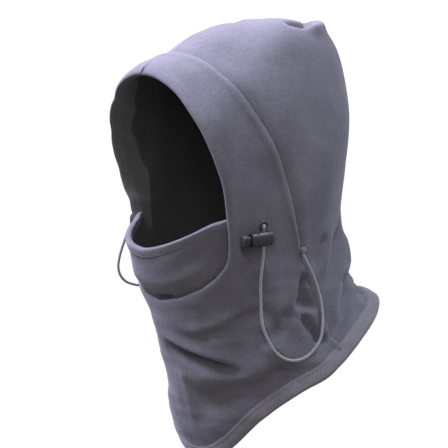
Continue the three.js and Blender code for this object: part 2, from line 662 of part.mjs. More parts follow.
const loops = { left: LOOP_LEFT, right: LOOP_RIGHT };
for (const side of ['left', 'right']) {
  add(`cord_lock_body_${side}`, placed(lockBody(), lockFrames[side]), plastic());
  add(`cord_lock_plunger_${side}`, placed(lockPlunger(), lockFrames[side]), plastic());
  add(`cord_lock_spring_${side}`, placed(lockSpring(), lockFrames[side]), steel());
  add(`cord_loop_${side}`, tubeAlong(vectors(loops[side]), CORD_RADIUS, CORD_SIDES, LOOP_STEPS), elastic());
  const tackFrame = fittingFrame(TACK_AT, TACK_STAND, 0, side);
  const tack = roundedBar(-TACK.width / 2, TACK.width / 2, TACK.height, TACK.depth, 1.2, 0.3);
  add(`cord_end_tack_${side}`, placed(tack, tackFrame), tape());
}

export default balaclava;
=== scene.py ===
"""A fleece balaclava, lined, with a mask panel, a drawcord and two cord locks, on a plain pale floor."""

import math

import bpy
import numpy as np
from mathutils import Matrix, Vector


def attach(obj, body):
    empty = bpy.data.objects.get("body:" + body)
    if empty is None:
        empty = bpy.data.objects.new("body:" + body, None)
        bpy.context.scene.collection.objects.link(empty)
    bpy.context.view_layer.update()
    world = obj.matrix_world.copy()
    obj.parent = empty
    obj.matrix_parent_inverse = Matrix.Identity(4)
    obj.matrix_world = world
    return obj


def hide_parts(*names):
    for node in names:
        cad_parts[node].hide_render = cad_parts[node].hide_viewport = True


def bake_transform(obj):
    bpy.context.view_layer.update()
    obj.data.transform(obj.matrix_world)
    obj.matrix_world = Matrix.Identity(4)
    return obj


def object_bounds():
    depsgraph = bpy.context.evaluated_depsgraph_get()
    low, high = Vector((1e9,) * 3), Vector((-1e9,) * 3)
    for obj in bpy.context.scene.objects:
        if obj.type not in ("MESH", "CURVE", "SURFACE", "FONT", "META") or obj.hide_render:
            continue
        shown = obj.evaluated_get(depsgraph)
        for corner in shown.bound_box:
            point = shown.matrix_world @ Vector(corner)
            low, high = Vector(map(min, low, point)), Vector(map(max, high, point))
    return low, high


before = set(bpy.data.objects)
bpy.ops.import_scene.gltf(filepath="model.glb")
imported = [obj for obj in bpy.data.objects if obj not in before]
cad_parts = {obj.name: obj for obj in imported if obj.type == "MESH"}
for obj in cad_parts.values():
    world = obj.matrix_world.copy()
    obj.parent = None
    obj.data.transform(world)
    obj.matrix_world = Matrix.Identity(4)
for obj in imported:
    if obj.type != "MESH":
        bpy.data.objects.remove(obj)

cad_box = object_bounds()
MM = 0.001
HOOD = "hood"
SIDES = ("left", "right")
MIRROR = np.array([-1, 1])

# -------- camera

CAMERA_DISTANCE = 1.7
CAMERA_AZIMUTH = math.radians(55)
CAMERA_ELEVATION = math.radians(3.5)
CAMERA_LENS, CAMERA_SENSOR = 145.4, 36


def add_camera():
    data = bpy.data.cameras.new("camera")
    data.sensor_width = CAMERA_SENSOR
    data.lens = CAMERA_LENS
    data.dof.use_dof = False
    camera = bpy.data.objects.new("camera", data)
    level = math.cos(CAMERA_ELEVATION)
    away = Vector((math.sin(CAMERA_AZIMUTH) * level, -math.cos(CAMERA_AZIMUTH) * level,
                   math.sin(CAMERA_ELEVATION)))
    camera.location = away * CAMERA_DISTANCE
    camera.rotation_euler = (-away).to_track_quat("-Z", "Y").to_euler()
    bpy.context.scene.collection.objects.link(camera)
    bpy.context.scene.camera = camera


add_camera()

# -------- sizes shared with the CAD model, in mm

SHELL, LINING, LOOSE, EDGE_LOOSE, GAP = 2.2, 1.8, 4.4, 1.0, 0.3
LINING_INSET = SHELL + LOOSE
FACING_TOP, FACING_BOTTOM = 26, 13
CORD_RADIUS = 1.3
BRAID_PITCH = 5.2
ROUND_SIDES = 48
ODD_DIRECTION = (0.31, 0.17, 0.93)
CHANNEL_INSET = 12
HEM_HEIGHT = 13
HEM_STEP = 0.015
LOCK = {"length": 23, "height": 12.5, "depth": 10, "bore": 8.4, "bore_depth": 6.8, "wall": 2.4, "hole": 2.2}
PLUNGER = {"height": 7.8, "depth": 6.0, "travel": 3.5, "head": 4.5, "head_height": 10.5, "head_depth": 8.6}
CORD_IN_LOCK = 1.5
EYELET = {"hole": 2.6, "flange": 4.5, "thickness": 0.9, "inner": 0.4}
TACK = {"width": 6, "height": 5, "depth": 3.2}

# Rings of the hood's outer surface from crown to hem: front y, z, side y, z, back y, z, half width, lift of
# the front quarters, squareness of the front corners.
RINGS = np.array([
    [38, 191, 38, 191, 38, 191, 0, 0, 0],
    [2, 187, 42, 187, 80, 192, 36, 0, 0],
    [-30, 177, 34, 172, 104, 189, 57, 0, 0],
    [-60, 161, 24, 147, 117, 172, 72, 0, 0],
    [-86, 146, 16, 116, 124, 142, 85, 0, 0.04],
    [-102, 112, 10, 80, 127, 104, 91, 0, 0.10],
    [-108, 66, 8, 40, 126, 60, 91, 0, 0.12],
    [-103, 20, 8, 4, 119, 14, 87, 0, 0.10],
    [-92, -28, 10, -30, 126, -14, 83, 0, 0.06],
    [-70, -74, 16, -62, 140, -38, 84, 0, 0.03],
    [-56, -122, 28, -90, 139, -56, 90, 2, 0.02],
    [-44, -170, 40, -110, 144, -64, 98, 8, 0.02],
    [-27, -219, 52, -127, 155, -70, 106, 24, 0.02],
])

# Lines across the front panel: the brim's edge, the seam or the hem, each as r and degrees, and where the
# crown panel's line meets the back's centre.
BRIM = [(.355, 0), (.365, 15), (.385, 26), (.415, 35), (.45, 44), (.483, 50), (.525, 55), (.59, 57.5),
        (.63, 58), (.662, 56.3), (.683, 51.2), (.702, 43), (.719, 31.5), (.733, 16.5), (.74, 0)]
SEAM = [(.245, 0), (.255, 20), (.275, 38), (.305, 50), (.345, 63), (.39, 74), (.46, 86), (.56, 94),
        (.68, 101), (.84, 102), (1, 97), (1, 75), (1, 50), (1, 25), (1, 0)]
BACK = [-.245, -.12, 0, .10, .20, .30, .42, .56, .70, .85, 1]
HEM_CORNER = 10
LAST_LINE = 14

# The mask's edges as r, how far round it reaches in degrees, a little more than its solid does, the share of
# its height where its cloth starts and its tape ends, and how much deeper it is tucked in than its solid, and
# how much less at its top corners.
MASK = {"top_middle": .653, "top_end": .585, "bottom_middle": .77, "bottom_end": .67, "reach": 66,
        "reach_top": 59}
MASK_EDGE, MASK_TAPE = 0.03, 0.13
MASK_TUCK, MASK_CORNER = 1.8, 5.8

LOCK_AT = {"left": (.612, 74.5), "right": (.597, 69.5)}
LOCK_TURN = {"left": 6, "right": 82}
LOCK_STAND = 6.8
EYELET_AT = (.588, 77)
EYELET_TO_CHANNEL = [(.582, 74), (.577, 71.5), (.572, 68), (.566, 64.5)]
TACK_AT = (.645, 99.5)
TACK_STAND = 2.6

LOOP = {
    "left": [
        (89.8, -19.3, -13.3), (89.4, -19, -16.5), (88.6, -18.8, -22), (87.6, -19.2, -30), (86.2, -19.6, -40),
        (84.6, -19.2, -51), (83.5, -18, -64), (82.6, -17, -76), (83, -15, -89), (85, -11, -100),
        (87.2, -6, -109), (90, -1, -115), (93, 5, -118.5), (95.5, 12, -119.5), (97.5, 19, -118),
        (98.5, 26, -114.5), (98.8, 33, -108), (97.5, 39.5, -100), (94.5, 43.5, -90), (91.5, 46, -80),
        (88.8, 46.8, -71), (86.6, 46, -62), (85.7, 42.5, -51), (85.6, 37.5, -40.5), (85.5, 32, -31),
        (85, 28.1, -23.8)],
    "right": [
        (-88.9, -36.7, 1.7), (-89, -39.2, 2.2), (-89.6, -41.6, 1.9), (-91.8, -43.6, -0.5),
        (-94.7, -45, -5.5), (-97.6, -46.6, -12), (-100.1, -48.1, -20), (-102.4, -49.9, -28.2),
        (-104, -51.4, -36.4), (-104.9, -52.1, -44.8), (-104.3, -50.3, -53), (-102, -45, -59.5),
        (-98.9, -37.5, -62.6), (-95.9, -28.8, -64), (-93.2, -18.5, -65.2), (-91, -8, -66), (-89, 3, -66.3),
        (-87.4, 13.5, -64.5), (-86.3, 23, -59.5), (-85.7, 29, -51.5), (-85.6, 31.3, -42),
        (-85.4, 30.6, -32.5), (-85, 28.1, -23.8)],
}
AROUND_LOCK = {
    "left": [(91.3, -20.7, 1.8), (89.7, -18.7, 3.2), (87.6, -17.2, 3.2)],
    "right": [(-91.2, -25, 0.4), (-91.2, -21.6, 1.6), (-89.8, -18.6, 2.8), (-87.6, -17.1, 3.1)],
}


# -------- small mathematics

def lerp(a, b, t):
    return a + (b - a) * t


def smooth(value, low, high):
    t = np.clip((value - low) / (high - low), 0, 1)
    return t * t * (3 - 2 * t)


def glide(a, b, c, d, f):
    """Value at f between b and c on the smooth curve through a, b, c and d."""
    return b + f / 2 * (c - a + f * (2 * a - 5 * b + 4 * c - d + f * (3 * (b - c) - a + d)))


def spline(line, at):
    """Points on the smooth curve through a line. Its first and last points only steer it."""
    i = np.clip(at.astype(int), 0, len(line) - 4)
    return glide(line[i], line[i + 1], line[i + 2], line[i + 3], (at - i)[..., None])


def bell(value, middle, width):
    return np.exp(-((value - middle) / width) ** 2)


def unit(v):
    return v / np.linalg.norm(v, axis=-1, keepdims=True)


def to_disc(r, degrees):
    angle = np.radians(degrees)
    return np.stack(np.broadcast_arrays(r * np.sin(angle), -r * np.cos(angle)), -1)


def angle_of(disc):
    """Angle on the disc in radians, from the front, positive to the left."""
    return np.arctan2(disc[..., 0], -disc[..., 1])


def disc_list(places):
    places = np.array(places, float)
    return to_disc(places[:, 0], places[:, 1])


def along(points):
    """Length of a path up to each of its points."""
    return np.concatenate([[0], np.cumsum(np.linalg.norm(np.diff(points, axis=0), axis=1))])


def through(points, count):
    """A smooth curve through points, at count places."""
    points = np.asarray(points, float)
    line = np.vstack([2 * points[0] - points[1], points, 2 * points[-1] - points[-2]])
    return spline(line, np.linspace(0, len(points) - 1, count))


def even(points, step):
    """The same curve with points a step apart."""
    fine = through(points, 40 * len(points))
    lengths = along(fine)
    places = np.linspace(0, lengths[-1], int(lengths[-1] / step) + 1)
    return np.stack([np.interp(places, lengths, fine[:, k]) for k in range(3)], -1)


# -------- the hood's surface

def extended_rings():
    """The rings with one more at each end: the second ring turned about, and the last step taken again."""
    before = RINGS[1, [4, 5, 2, 3, 0, 1, 6, 7, 8]] * [1, 1, 1, 1, 1, 1, -1, 1, 1]
    return np.vstack([before, RINGS, 2 * RINGS[-1] - RINGS[-2]])


RING_TABLE = extended_rings()


def surface(disc):
    """Points of the smooth outer surface, in mm, for places on the disc."""
    ring = spline(RING_TABLE, np.clip(np.linalg.norm(disc, axis=-1), 0, 1.02) * (len(RINGS) - 1))
    y_front, z_front, y_side, z_side, y_back, z_back, half, lift, square = np.moveaxis(ring, -1, 0)
    angle = angle_of(disc)
    c, s = np.cos(angle), np.sin(angle)
    front = (1 + c) / 2
    x = half * (s + square * front * (np.sin(3 * angle) + s))
    y = y_side - np.where(c >= 0, y_side - y_front, y_back - y_side) * c
    saddle = (z_front + z_back - 2 * z_side) / 4 * np.cos(2 * angle)
    z = (z_front + z_back + 2 * z_side) / 4 + (z_front - z_back) / 2 * c + saddle
    return np.stack([x, y, z + lift * front * (1 - np.cos(4 * angle)) / 2], -1)


def normal(disc):
    step = 0.004
    across, along = np.array([step, 0]), np.array([0, step])
    return unit(np.cross(surface(disc + across) - surface(disc - across),
                         surface(disc + along) - surface(disc - along)))


def along_lines(places, s, mirror_end):
    """Places on the disc at numbers s along a line that starts, and may end, square to the middle."""
    points = disc_list(places)
    end = points[-2] * MIRROR if mirror_end else 2 * points[-1] - points[-2]
    return spline(np.vstack([points[1] * MIRROR, points, end]), s)


def front_disc(s, t):
    """From the brim's edge (t = 0) to the seam or the hem (t = 1)."""
    return lerp(along_lines(BRIM, s, True), seam_or_hem(s), t[..., None])


def seam_or_hem(s):
    seam = along_lines(SEAM[:HEM_CORNER + 1], np.minimum(s, HEM_CORNER), False)
    hem = to_disc(1.0, np.interp(s, range(LAST_LINE + 1), [angle for _, angle in SEAM]))
    return np.where((s <= HEM_CORNER)[..., None], seam, hem)


def crown_disc(s, t):
    """From the seam (t = 0) to the back's centre line (t = 1)."""
    centre = np.interp(s, range(HEM_CORNER + 1), BACK)
    seam = seam_or_hem(s)
    straight = lerp(seam, np.stack([np.zeros_like(centre), centre], -1), t[..., None])
    turned = to_disc(lerp(np.linalg.norm(seam, axis=-1), centre, t), lerp(np.degrees(angle_of(seam)), 180, t))
    return lerp(straight, turned, smooth(s, 3, 7)[..., None])


# -------- folds

# Each fold is a path of (r, degrees), its depth and width in mm, and the height of the soft lip beside it,
# on the left of its path if positive and on the right if negative. A fold is steep below its lip. A negative
# depth is a ridge.
FOLDS = [
    # collar, left front
    ([(.811, -8), (.816, 3), (.826, 13), (.840, 24), (.858, 35), (.884, 46)], 12.0, 4.8, 1.8),
    ([(.795, 6), (.797, 18), (.795, 30), (.785, 45), (.767, 64), (.757, 78)], 3.6, 5.0, 1.4),
    ([(.87, -4), (.891, 12), (.903, 24), (.914, 39), (.921, 51), (.918, 68), (.937, 87)], 9.0, 12, 1.0),
    ([(.84, 4), (.87, 5), (.91, 5), (.96, 5)], -1.4, 6, 0),
    ([(.72, -34), (.78, -33), (.84, -32), (.90, -32), (.96, -32), (1.0, -32)], 5.0, 17, 0),
    # the pocket under the jaw and the folds that fan out from it
    ([(.655, 104), (.69, 99), (.735, 94), (.775, 88)], -2.0, 4.5, 0),
    ([(.70, 101), (.742, 97.5), (.785, 94)], 8.5, 6.0, 0),
    ([(.765, 90), (.777, 95), (.79, 102)], 6.0, 4.5, 0),
    ([(.797, 87), (.803, 95), (.812, 103)], -2.0, 4, 0),
    ([(.772, 91), (.79, 84), (.81, 76), (.83, 67), (.845, 58)], 6.5, 5.5, 1.0),
    ([(.785, 90), (.82, 92.5), (.865, 94), (.905, 92)], 6.0, 4.4, 1.2),
    # nape, left
    ([(.59, 142), (.642, 133), (.69, 124), (.73, 115), (.78, 104)], 7.0, 6, 2.0),
    ([(.61, 121), (.643, 117), (.676, 112), (.72, 104)], 4.6, 4.6, 1.2),
    ([(.62, 156), (.66, 147), (.71, 138), (.75, 130)], 4.5, 6, 1.4),
    ([(.764, 136), (.795, 128), (.827, 121.5), (.864, 114.5), (.894, 105), (.909, 97)], 7.0, 6.0, 1.6),
    ([(.885, 88), (.90, 97), (.905, 110)], 3.0, 5, 0),
    ([(.75, 112), (.760, 131), (.766, 155), (.768, 180), (.764, 205), (.756, 235)], 6.5, 6, 0),
    ([(.84, 140), (.87, 150), (.90, 156)], 3.0, 8, 0),
    ([(.91, 112), (.945, 136), (.96, 155), (.955, 178), (.94, 200)], -4.0, 11, 0),
    # cheek and brim, left
    ([(.622, 66), (.640, 68), (.652, 71), (.672, 76)], 7.5, 6.0, 0),
    ([(.46, 68), (.49, 78), (.53, 86)], 1.6, 12, 0),
    # crown
    ([(.082, 84), (.10, 104), (.108, 136), (.112, 170), (.10, 200)], 9.0, 4.6, 0),
    ([(.135, 108), (.148, 132), (.156, 160), (.16, 195)], -5.5, 7, 0),
    ([(.36, 118), (.44, 109)], 1.4, 16, 0),
    ([(.40, 150), (.50, 140), (.56, 126)], 1.6, 14, 0),
    ([(.03, -30), (.05, -100), (.09, -150)], -2.6, 12, 0),
    # right side
    ([(.81, -20), (.835, -38), (.85, -52), (.875, -66)], 5.0, 6, 1.4),
    ([(.78, -30), (.775, -48), (.76, -66)], 3.0, 6, 1.0),
    ([(.90, -14), (.915, -34), (.925, -52), (.91, -72), (.93, -92)], 7.5, 12, 1.6),
    ([(.70, -103), (.74, -97), (.79, -88), (.83, -76)], 6.5, 6, -1.2),
    ([(.79, -89), (.84, -95), (.89, -96)], 5.0, 5, 1.0),
    ([(.60, -138), (.65, -131), (.70, -121), (.75, -108)], 5.5, 6.0, -1.6),
    ([(.63, -118), (.68, -112), (.72, -105)], 3.6, 5, -1.0),
    ([(.80, -130), (.84, -122), (.88, -112), (.90, -99)], 5.5, 7, -1.6),
    ([(.84, -150), (.88, -158), (.93, -162)], 2.8, 8, 0),
    ([(.45, -68), (.48, -78)], 1.6, 13, 0),
    ([(.38, -116), (.46, -108)], 1.6, 16, 0),
    ([(.64, -66), (.655, -74), (.67, -84)], 3.0, 7, 0),
]

# The right edge of the brim stands out a little, and its cloth is uneven there.
FLARES = [
    ([(.36, 14), (.355, 0), (.365, -15), (.385, -26), (.415, -35), (.45, -44), (.483, -50), (.525, -55),
      (.59, -57.5), (.63, -58)], -4.5, 15, 0),
    ([(.40, -20), (.385, -40), (.38, -60)], 1.6, 5.5, 0),
    ([(.44, -36), (.435, -52), (.43, -70)], 1.5, 6, 0),
    ([(.49, -44), (.50, -60), (.50, -78)], 1.6, 6, 0),
    ([(.56, -48), (.56, -64), (.565, -80)], 2.0, 6, 0),
]

# Where fittings stand on the cloth, and how far round them in mm it lies smooth.
CALM = [((r, turn * degrees), reach)
        for (r, degrees), reach in ((EYELET_AT, 7), (TACK_AT, 5)) for turn in (1, -1)]


def distance_to(points, path, flat=None, flat_path=None):
    """Distance from each point to a path, how far along the path, and on which side of it."""
    start, run = path[:-1], np.diff(path, axis=0)
    offset = points[:, None] - start
    f = np.clip((offset * run).sum(-1) / (run * run).sum(-1), 0, 1)
    gap = np.linalg.norm(offset - f[..., None] * run, axis=-1)
    nearest = gap.argmin(1)
    rows = np.arange(len(points))
    share = (nearest + f[rows, nearest]) / len(run)
    if flat is None:
        return gap[rows, nearest], share, None
    direction = np.diff(flat_path, axis=0)[nearest]
    beside = flat - flat_path[nearest]
    side = np.sign(direction[:, 0] * beside[:, 1] - direction[:, 1] * beside[:, 0])
    return gap[rows, nearest], share, side


def faded(share):
    """A fold's strength along it, fading to nothing at both ends."""
    return smooth(share, 0, 0.3) * smooth(1 - share, 0, 0.3)


def close_to(points, path, reach):
    """Which points lie in the box round a path, grown by reach."""
    return np.all((points > path.min(0) - reach) & (points < path.max(0) + reach), axis=1)


def fold_relief(disc, folds):
    """Height in mm of some folds at places on the disc."""
    flat = disc.reshape(-1, 2)
    points = surface(flat)
    height = np.zeros(len(flat))
    for places, depth, width, roll in folds:
        line = through(disc_list(places), 6 * len(places))
        path = surface(line)
        near = close_to(points, path, 3.2 * width + 3)
        if not near.any():
            continue
        gap, share, side = distance_to(points[near], path, flat[near], line)
        signed = gap * side * math.copysign(1, roll)
        slope = width * np.where(signed > 0, 0.7, 1.35) if roll else width
        lip = abs(roll) * bell(signed, 1.5 * width, 1.1 * width)
        height[near] += faded(share) * (lip - depth * bell(gap, 0, slope))
    return height.reshape(disc.shape[:-1])


WAVES = [(95, 1.0), (70, 0.8), (52, 0.5), (38, 0.35), (30, 0.3), (24, 0.22), (17, 0.14), (12, 0.10)]


def ripple(disc):
    """Shallow unevenness of soft cloth, in mm. The shorter waves fade out over the crown."""
    points = surface(disc)
    low = smooth(np.linalg.norm(disc, axis=-1), 0.5, 0.75)
    waves = np.random.default_rng(7)
    height = np.zeros(disc.shape[:-1])
    for length, size in WAVES:
        direction = unit(waves.normal(size=3))
        wave = size * np.sin(points @ direction * 2 * math.pi / length + waves.uniform(0, 2 * math.pi))
        height += wave * (low if length < 35 else 1)
    return height


# -------- drape: one layer of cloth, simulated

DRAPE_FROM, DRAPE_TO = 0.46, 1.0
DRAPE_ROWS, DRAPE_COLUMNS = 46, 144
DRAPE_CAP = 5.0
SETTLE_FRAMES = 26
CLOTH = {"quality": 6, "mass": 0.25, "tension_stiffness": 12, "compression_stiffness": 12,
         "shear_stiffness": 4, "bending_stiffness": 1.2, "air_damping": 2, "vertex_group_mass": "pin",
         "pin_stiffness": 0.6, "shrink_min": -0.05, "shrink_max": -0.05}


def blurred(field, rounds):
    """A field on the drape's grid, each value shared among its neighbours."""
    for _ in range(rounds):
        wide = np.pad(field, ((1, 1), (0, 0), (0, 0)), "edge")
        beside = np.roll(field, 1, 1) + np.roll(field, -1, 1)
        field = (4 * field + beside + wide[:-2] + wide[2:]) / 8
    return field


def pinned(r, degrees):
    """How firmly the cloth is held: by the head, round the face opening, and a little at the hem."""
    turned = np.abs((degrees + 180) % 360 - 180)
    opening = smooth(turned, 74, 60) * smooth(r, 0.78, 0.73)
    return np.maximum.reduce([smooth(r, 0.66, 0.52), opening, 0.55 * smooth(r, 0.93, 1.0)]).ravel()


def settled(start, pin):
    """Where a closed band of cloth comes to rest, from its grid of points in mm."""
    k = np.arange(DRAPE_ROWS * DRAPE_COLUMNS).reshape(DRAPE_ROWS, DRAPE_COLUMNS)
    after = np.roll(k, -1, axis=1)
    faces = np.stack([k[:-1], k[1:], after[1:], after[:-1]], -1).reshape(-1, 4)
    mesh = bpy.data.meshes.new("drape")
    mesh.from_pydata((start.reshape(-1, 3) * MM).tolist(), [], faces.tolist())
    skin = bpy.data.objects.new("drape", mesh)
    scene = bpy.context.scene
    scene.collection.objects.link(skin)
    group = skin.vertex_groups.new(name="pin")
    for vertex, weight in enumerate(pin):
        group.add([vertex], float(weight), "REPLACE")
    cloth = skin.modifiers.new("cloth", "CLOTH")
    for setting, value in CLOTH.items():
        setattr(cloth.settings, setting, value)
    cloth.point_cache.frame_start, cloth.point_cache.frame_end = 1, SETTLE_FRAMES
    for number in range(1, SETTLE_FRAMES + 1):
        scene.frame_set(number)
    evaluated = skin.evaluated_get(bpy.context.evaluated_depsgraph_get())
    places = np.empty(start.size)
    evaluated.data.vertices.foreach_get("co", places)
    bpy.data.objects.remove(skin)
    bpy.data.meshes.remove(mesh)
    scene.frame_set(1)
    return places.reshape(start.shape) / MM


def drape_field():
    """How far the neck's and collar's cloth moves as it settles, in mm, on a grid of r and angle."""
    rows = np.linspace(DRAPE_FROM, DRAPE_TO, DRAPE_ROWS)
    angles = np.arange(DRAPE_COLUMNS) * 360 / DRAPE_COLUMNS
    r, degrees = np.meshgrid(rows, angles, indexing="ij")
    start = surface(to_disc(r, degrees))
    fine = blurred(settled(start, pinned(r, degrees)) - start, 3)
    moved = fine - 0.8 * blurred(fine, 40)
    length = np.linalg.norm(moved, axis=-1, keepdims=True)
    return moved * DRAPE_CAP / np.maximum(length, 1e-6) * np.tanh(length / DRAPE_CAP)


DRAPE = drape_field()
HALF_BRIM = along_lines(BRIM, np.linspace(0, LAST_LINE, 60), True)
BRIM_PATH = surface(np.concatenate([HALF_BRIM, HALF_BRIM[::-1] * MIRROR]))


def drape(disc):
    r = np.linalg.norm(disc, axis=-1)
    row = np.clip((r - DRAPE_FROM) / (DRAPE_TO - DRAPE_FROM), 0, 1) * (DRAPE_ROWS - 1)
    column = np.degrees(angle_of(disc)) % 360 * DRAPE_COLUMNS / 360
    i = np.minimum(row.astype(int), DRAPE_ROWS - 2)
    j = column.astype(int)
    f, g = (row - i)[..., None], (column - j)[..., None]

    def across(k):
        line = DRAPE[np.clip(k, 0, DRAPE_ROWS - 1)]
        return glide(*(np.take_along_axis(line, ((j + n) % DRAPE_COLUMNS)[..., None, None], -2)[..., 0, :]
                       for n in (-1, 0, 1, 2)), g)

    moved = glide(across(i - 1), across(i), across(i + 1), across(i + 2), f)
    return moved * (smooth(r, 0.5, 0.7) * lerp(1, 0.2, smooth(r, 0.88, 0.96)))[..., None]


def hem_line(disc):
    """How much the lower edge lifts behind the shoulders and dips before them, in mm."""
    turned = np.abs(np.degrees(angle_of(disc)))
    lift = 4.5 * bell(turned, 68, 14) - 2.6 * bell(turned, 22, 13)
    return lift * smooth(np.linalg.norm(disc, axis=-1), 0.85, 1)


def shaped(disc):
    """Points and normals of the settled outer surface. Cords press it in a little."""
    n = normal(disc)
    points = surface(disc)
    from_brim, _, _ = distance_to(points.reshape(-1, 3), BRIM_PATH)
    from_brim = from_brim.reshape(disc.shape[:-1])
    relief = fold_relief(disc, FOLDS) * smooth(from_brim, 1, 18) + ripple(disc) * smooth(from_brim, -6, 20)
    moved = smooth(from_brim, 4, 40)[..., None] * drape(disc) + relief[..., None] * n
    for place, reach in CALM:
        gap = np.linalg.norm(points - surface(to_disc(*place)), axis=-1, keepdims=True)
        moved = moved * smooth(gap, 0.5 * reach, 2.2 * reach)
    points = points + moved + fold_relief(disc, FLARES)[..., None] * n
    points[..., 2] += hem_line(disc)
    flat = points.reshape(-1, 3)
    for path in CLEAR_PATHS:
        near = close_to(flat, path, 4)
        if near.any():
            gap, _, _ = distance_to(flat[near], path)
            flat[near] -= np.maximum(0, CORD_CLEAR - gap)[:, None] * n.reshape(-1, 3)[near]
    return flat.reshape(points.shape), n


CORD_CLEAR = CORD_RADIUS + 0.7
CLEAR_PATHS = [even(LOOP[side], 4) for side in SIDES]


# -------- materials

class Finish:
    """A material in the making: its nodes, its shader, and the object's own coordinates."""

    def __init__(self, name, colour, roughness, **sockets):
        self.material = bpy.data.materials.new(name)
        self.material.use_nodes = True
        self.tree = self.material.node_tree
        self.shader = self.tree.nodes["Principled BSDF"]
        sockets.update(Base_Color=(*colour, 1), Roughness=roughness)
        for socket, value in sockets.items():
            self.shader.inputs[socket.replace("_", " ")].default_value = value
        self.place = self.node("TexCoord").outputs["Object"]

    def node(self, kind, links=None, **values):
        """Adds a node. links maps an input to the output that feeds it, values are inputs or settings."""
        new = self.tree.nodes.new("ShaderNode" + kind)
        for key, value in values.items():
            if hasattr(new, key):
                setattr(new, key, value)
            else:
                new.inputs[key.replace("_", " ")].default_value = value
        for key, source in (links or {}).items():
            self.tree.links.new(source, new.inputs[key])
        return new

    def feed(self, socket, output):
        self.tree.links.new(output, self.shader.inputs[socket])

    def noise(self, size, detail=2.0, rough=0.5, place=None):
        place = place or self.place
        return self.node("TexNoise", {"Vector": place}, Scale=1 / size, Detail=detail,
                         Roughness=rough).outputs["Fac"]

    def spread(self, value, low, high, to_low, to_high):
        """A value between low and high, made one between to_low and to_high."""
        return self.node("MapRange", {"Value": value}, From_Min=low, From_Max=high, To_Min=to_low,
                         To_Max=to_high).outputs["Result"]

    def join(self, operation, first, *others):
        """The outputs joined by one operation, from left to right."""
        for other in others:
            first = self.node("Math", {0: first, 1: other}, operation=operation).outputs[0]
        return first

    def mix(self, blend, factor, first, second):
        """A colour mix. Its factor and both sides are outputs or fixed values."""
        mix = self.node("Mix", data_type="RGBA", blend_type=blend)
        sockets = [mix.inputs["Factor"]] + [socket for socket in mix.inputs if socket.type == "RGBA"]
        for socket, value in zip(sockets, (factor, first, second)):
            if isinstance(value, bpy.types.NodeSocket):
                self.tree.links.new(value, socket)
            else:
                socket.default_value = value
        return next(socket for socket in mix.outputs if socket.type == "RGBA")

    def bump(self, height, strength, distance):
        self.feed("Normal", self.node("Bump", {"Height": height}, Strength=strength,
                                      Distance=distance).outputs["Normal"])


def brushed(name, colour, fibre, sheen, tint, bump=0.5):
    """Brushed knitted cloth: a soft nap of short fibres in tufts, a little uneven."""
    cloth = Finish(name, colour, 0.92, Sheen_Weight=sheen, Sheen_Roughness=0.45, Sheen_Tint=(*tint, 1),
                   Specular_IOR_Level=0.15)
    bend = cloth.node("TexNoise", {"Vector": cloth.place}, Scale=160.0, Detail=1.0).outputs["Color"]
    shift = cloth.node("VectorMath", {0: bend}, operation="SCALE", Scale=0.0016).outputs[0]
    warped = cloth.node("VectorMath", {0: cloth.place, 1: shift}, operation="ADD").outputs[0]
    tufts = cloth.noise(0.0022, 3.0, 0.6, warped)
    fibres = cloth.noise(0.0005, 2.0, 0.7, warped)
    pills = cloth.node("TexVoronoi", {"Vector": warped}, Scale=300.0, feature="SMOOTH_F1").outputs["Distance"]
    tone = cloth.join("MULTIPLY", cloth.spread(cloth.noise(0.045), 0.3, 0.7, 0.92, 1.08),
                      cloth.spread(cloth.noise(0.012), 0.3, 0.7, 0.95, 1.05),
                      cloth.spread(tufts, 0.25, 0.75, 0.84, 1.16), cloth.spread(fibres, 0.3, 0.7, 0.9, 1.1))
    base = cloth.mix("MULTIPLY", 1.0, (*colour, 1), tone)
    cloth.feed("Base Color", cloth.mix("MIX", cloth.spread(fibres, 0.55, 0.8, 0.0, 0.35), base, (*fibre, 1)))
    height = cloth.join("ADD", cloth.spread(tufts, 0.2, 0.8, 0, 1.0), cloth.spread(fibres, 0.2, 0.8, 0, 0.35),
                        cloth.spread(pills, 0.0, 0.8, 0.5, 0))
    cloth.bump(height, bump, 0.0005)
    cloth.feed("Roughness", cloth.spread(tufts, 0.2, 0.8, 0.98, 0.86))
    return cloth.material


def braided(name, colour):
    """Braided elastic: the strands are in the mesh, and each is a bundle of fine filaments."""
    cord = Finish(name, colour, 0.7, Sheen_Weight=0.25, Specular_IOR_Level=0.3)
    filaments = cord.noise(0.00025, 2.0, 0.6)
    tone = cord.join("MULTIPLY", cord.spread(filaments, 0.3, 0.7, 0.85, 1.15),
                     cord.spread(cord.noise(0.012), 0.3, 0.7, 0.93, 1.07))
    cord.feed("Base Color", cord.mix("MULTIPLY", 1.0, (*colour, 1), tone))
    cord.bump(filaments, 0.4, 0.0001)
    return cord.material


def moulded(name, colour, roughness, metallic=0.0, specular=0.5):
    """Moulded plastic or drawn wire with a fine grain and faint handling marks."""
    skin = Finish(name, colour, roughness, Metallic=metallic, Specular_IOR_Level=specular)
    marks = skin.noise(0.004, 3.0, 0.6)
    skin.feed("Roughness", skin.spread(marks, 0.3, 0.7, roughness - 0.08, roughness + 0.1))
    skin.bump(skin.noise(0.00035, 2.0, 0.6), 0.25, 0.00008)
    return skin.material


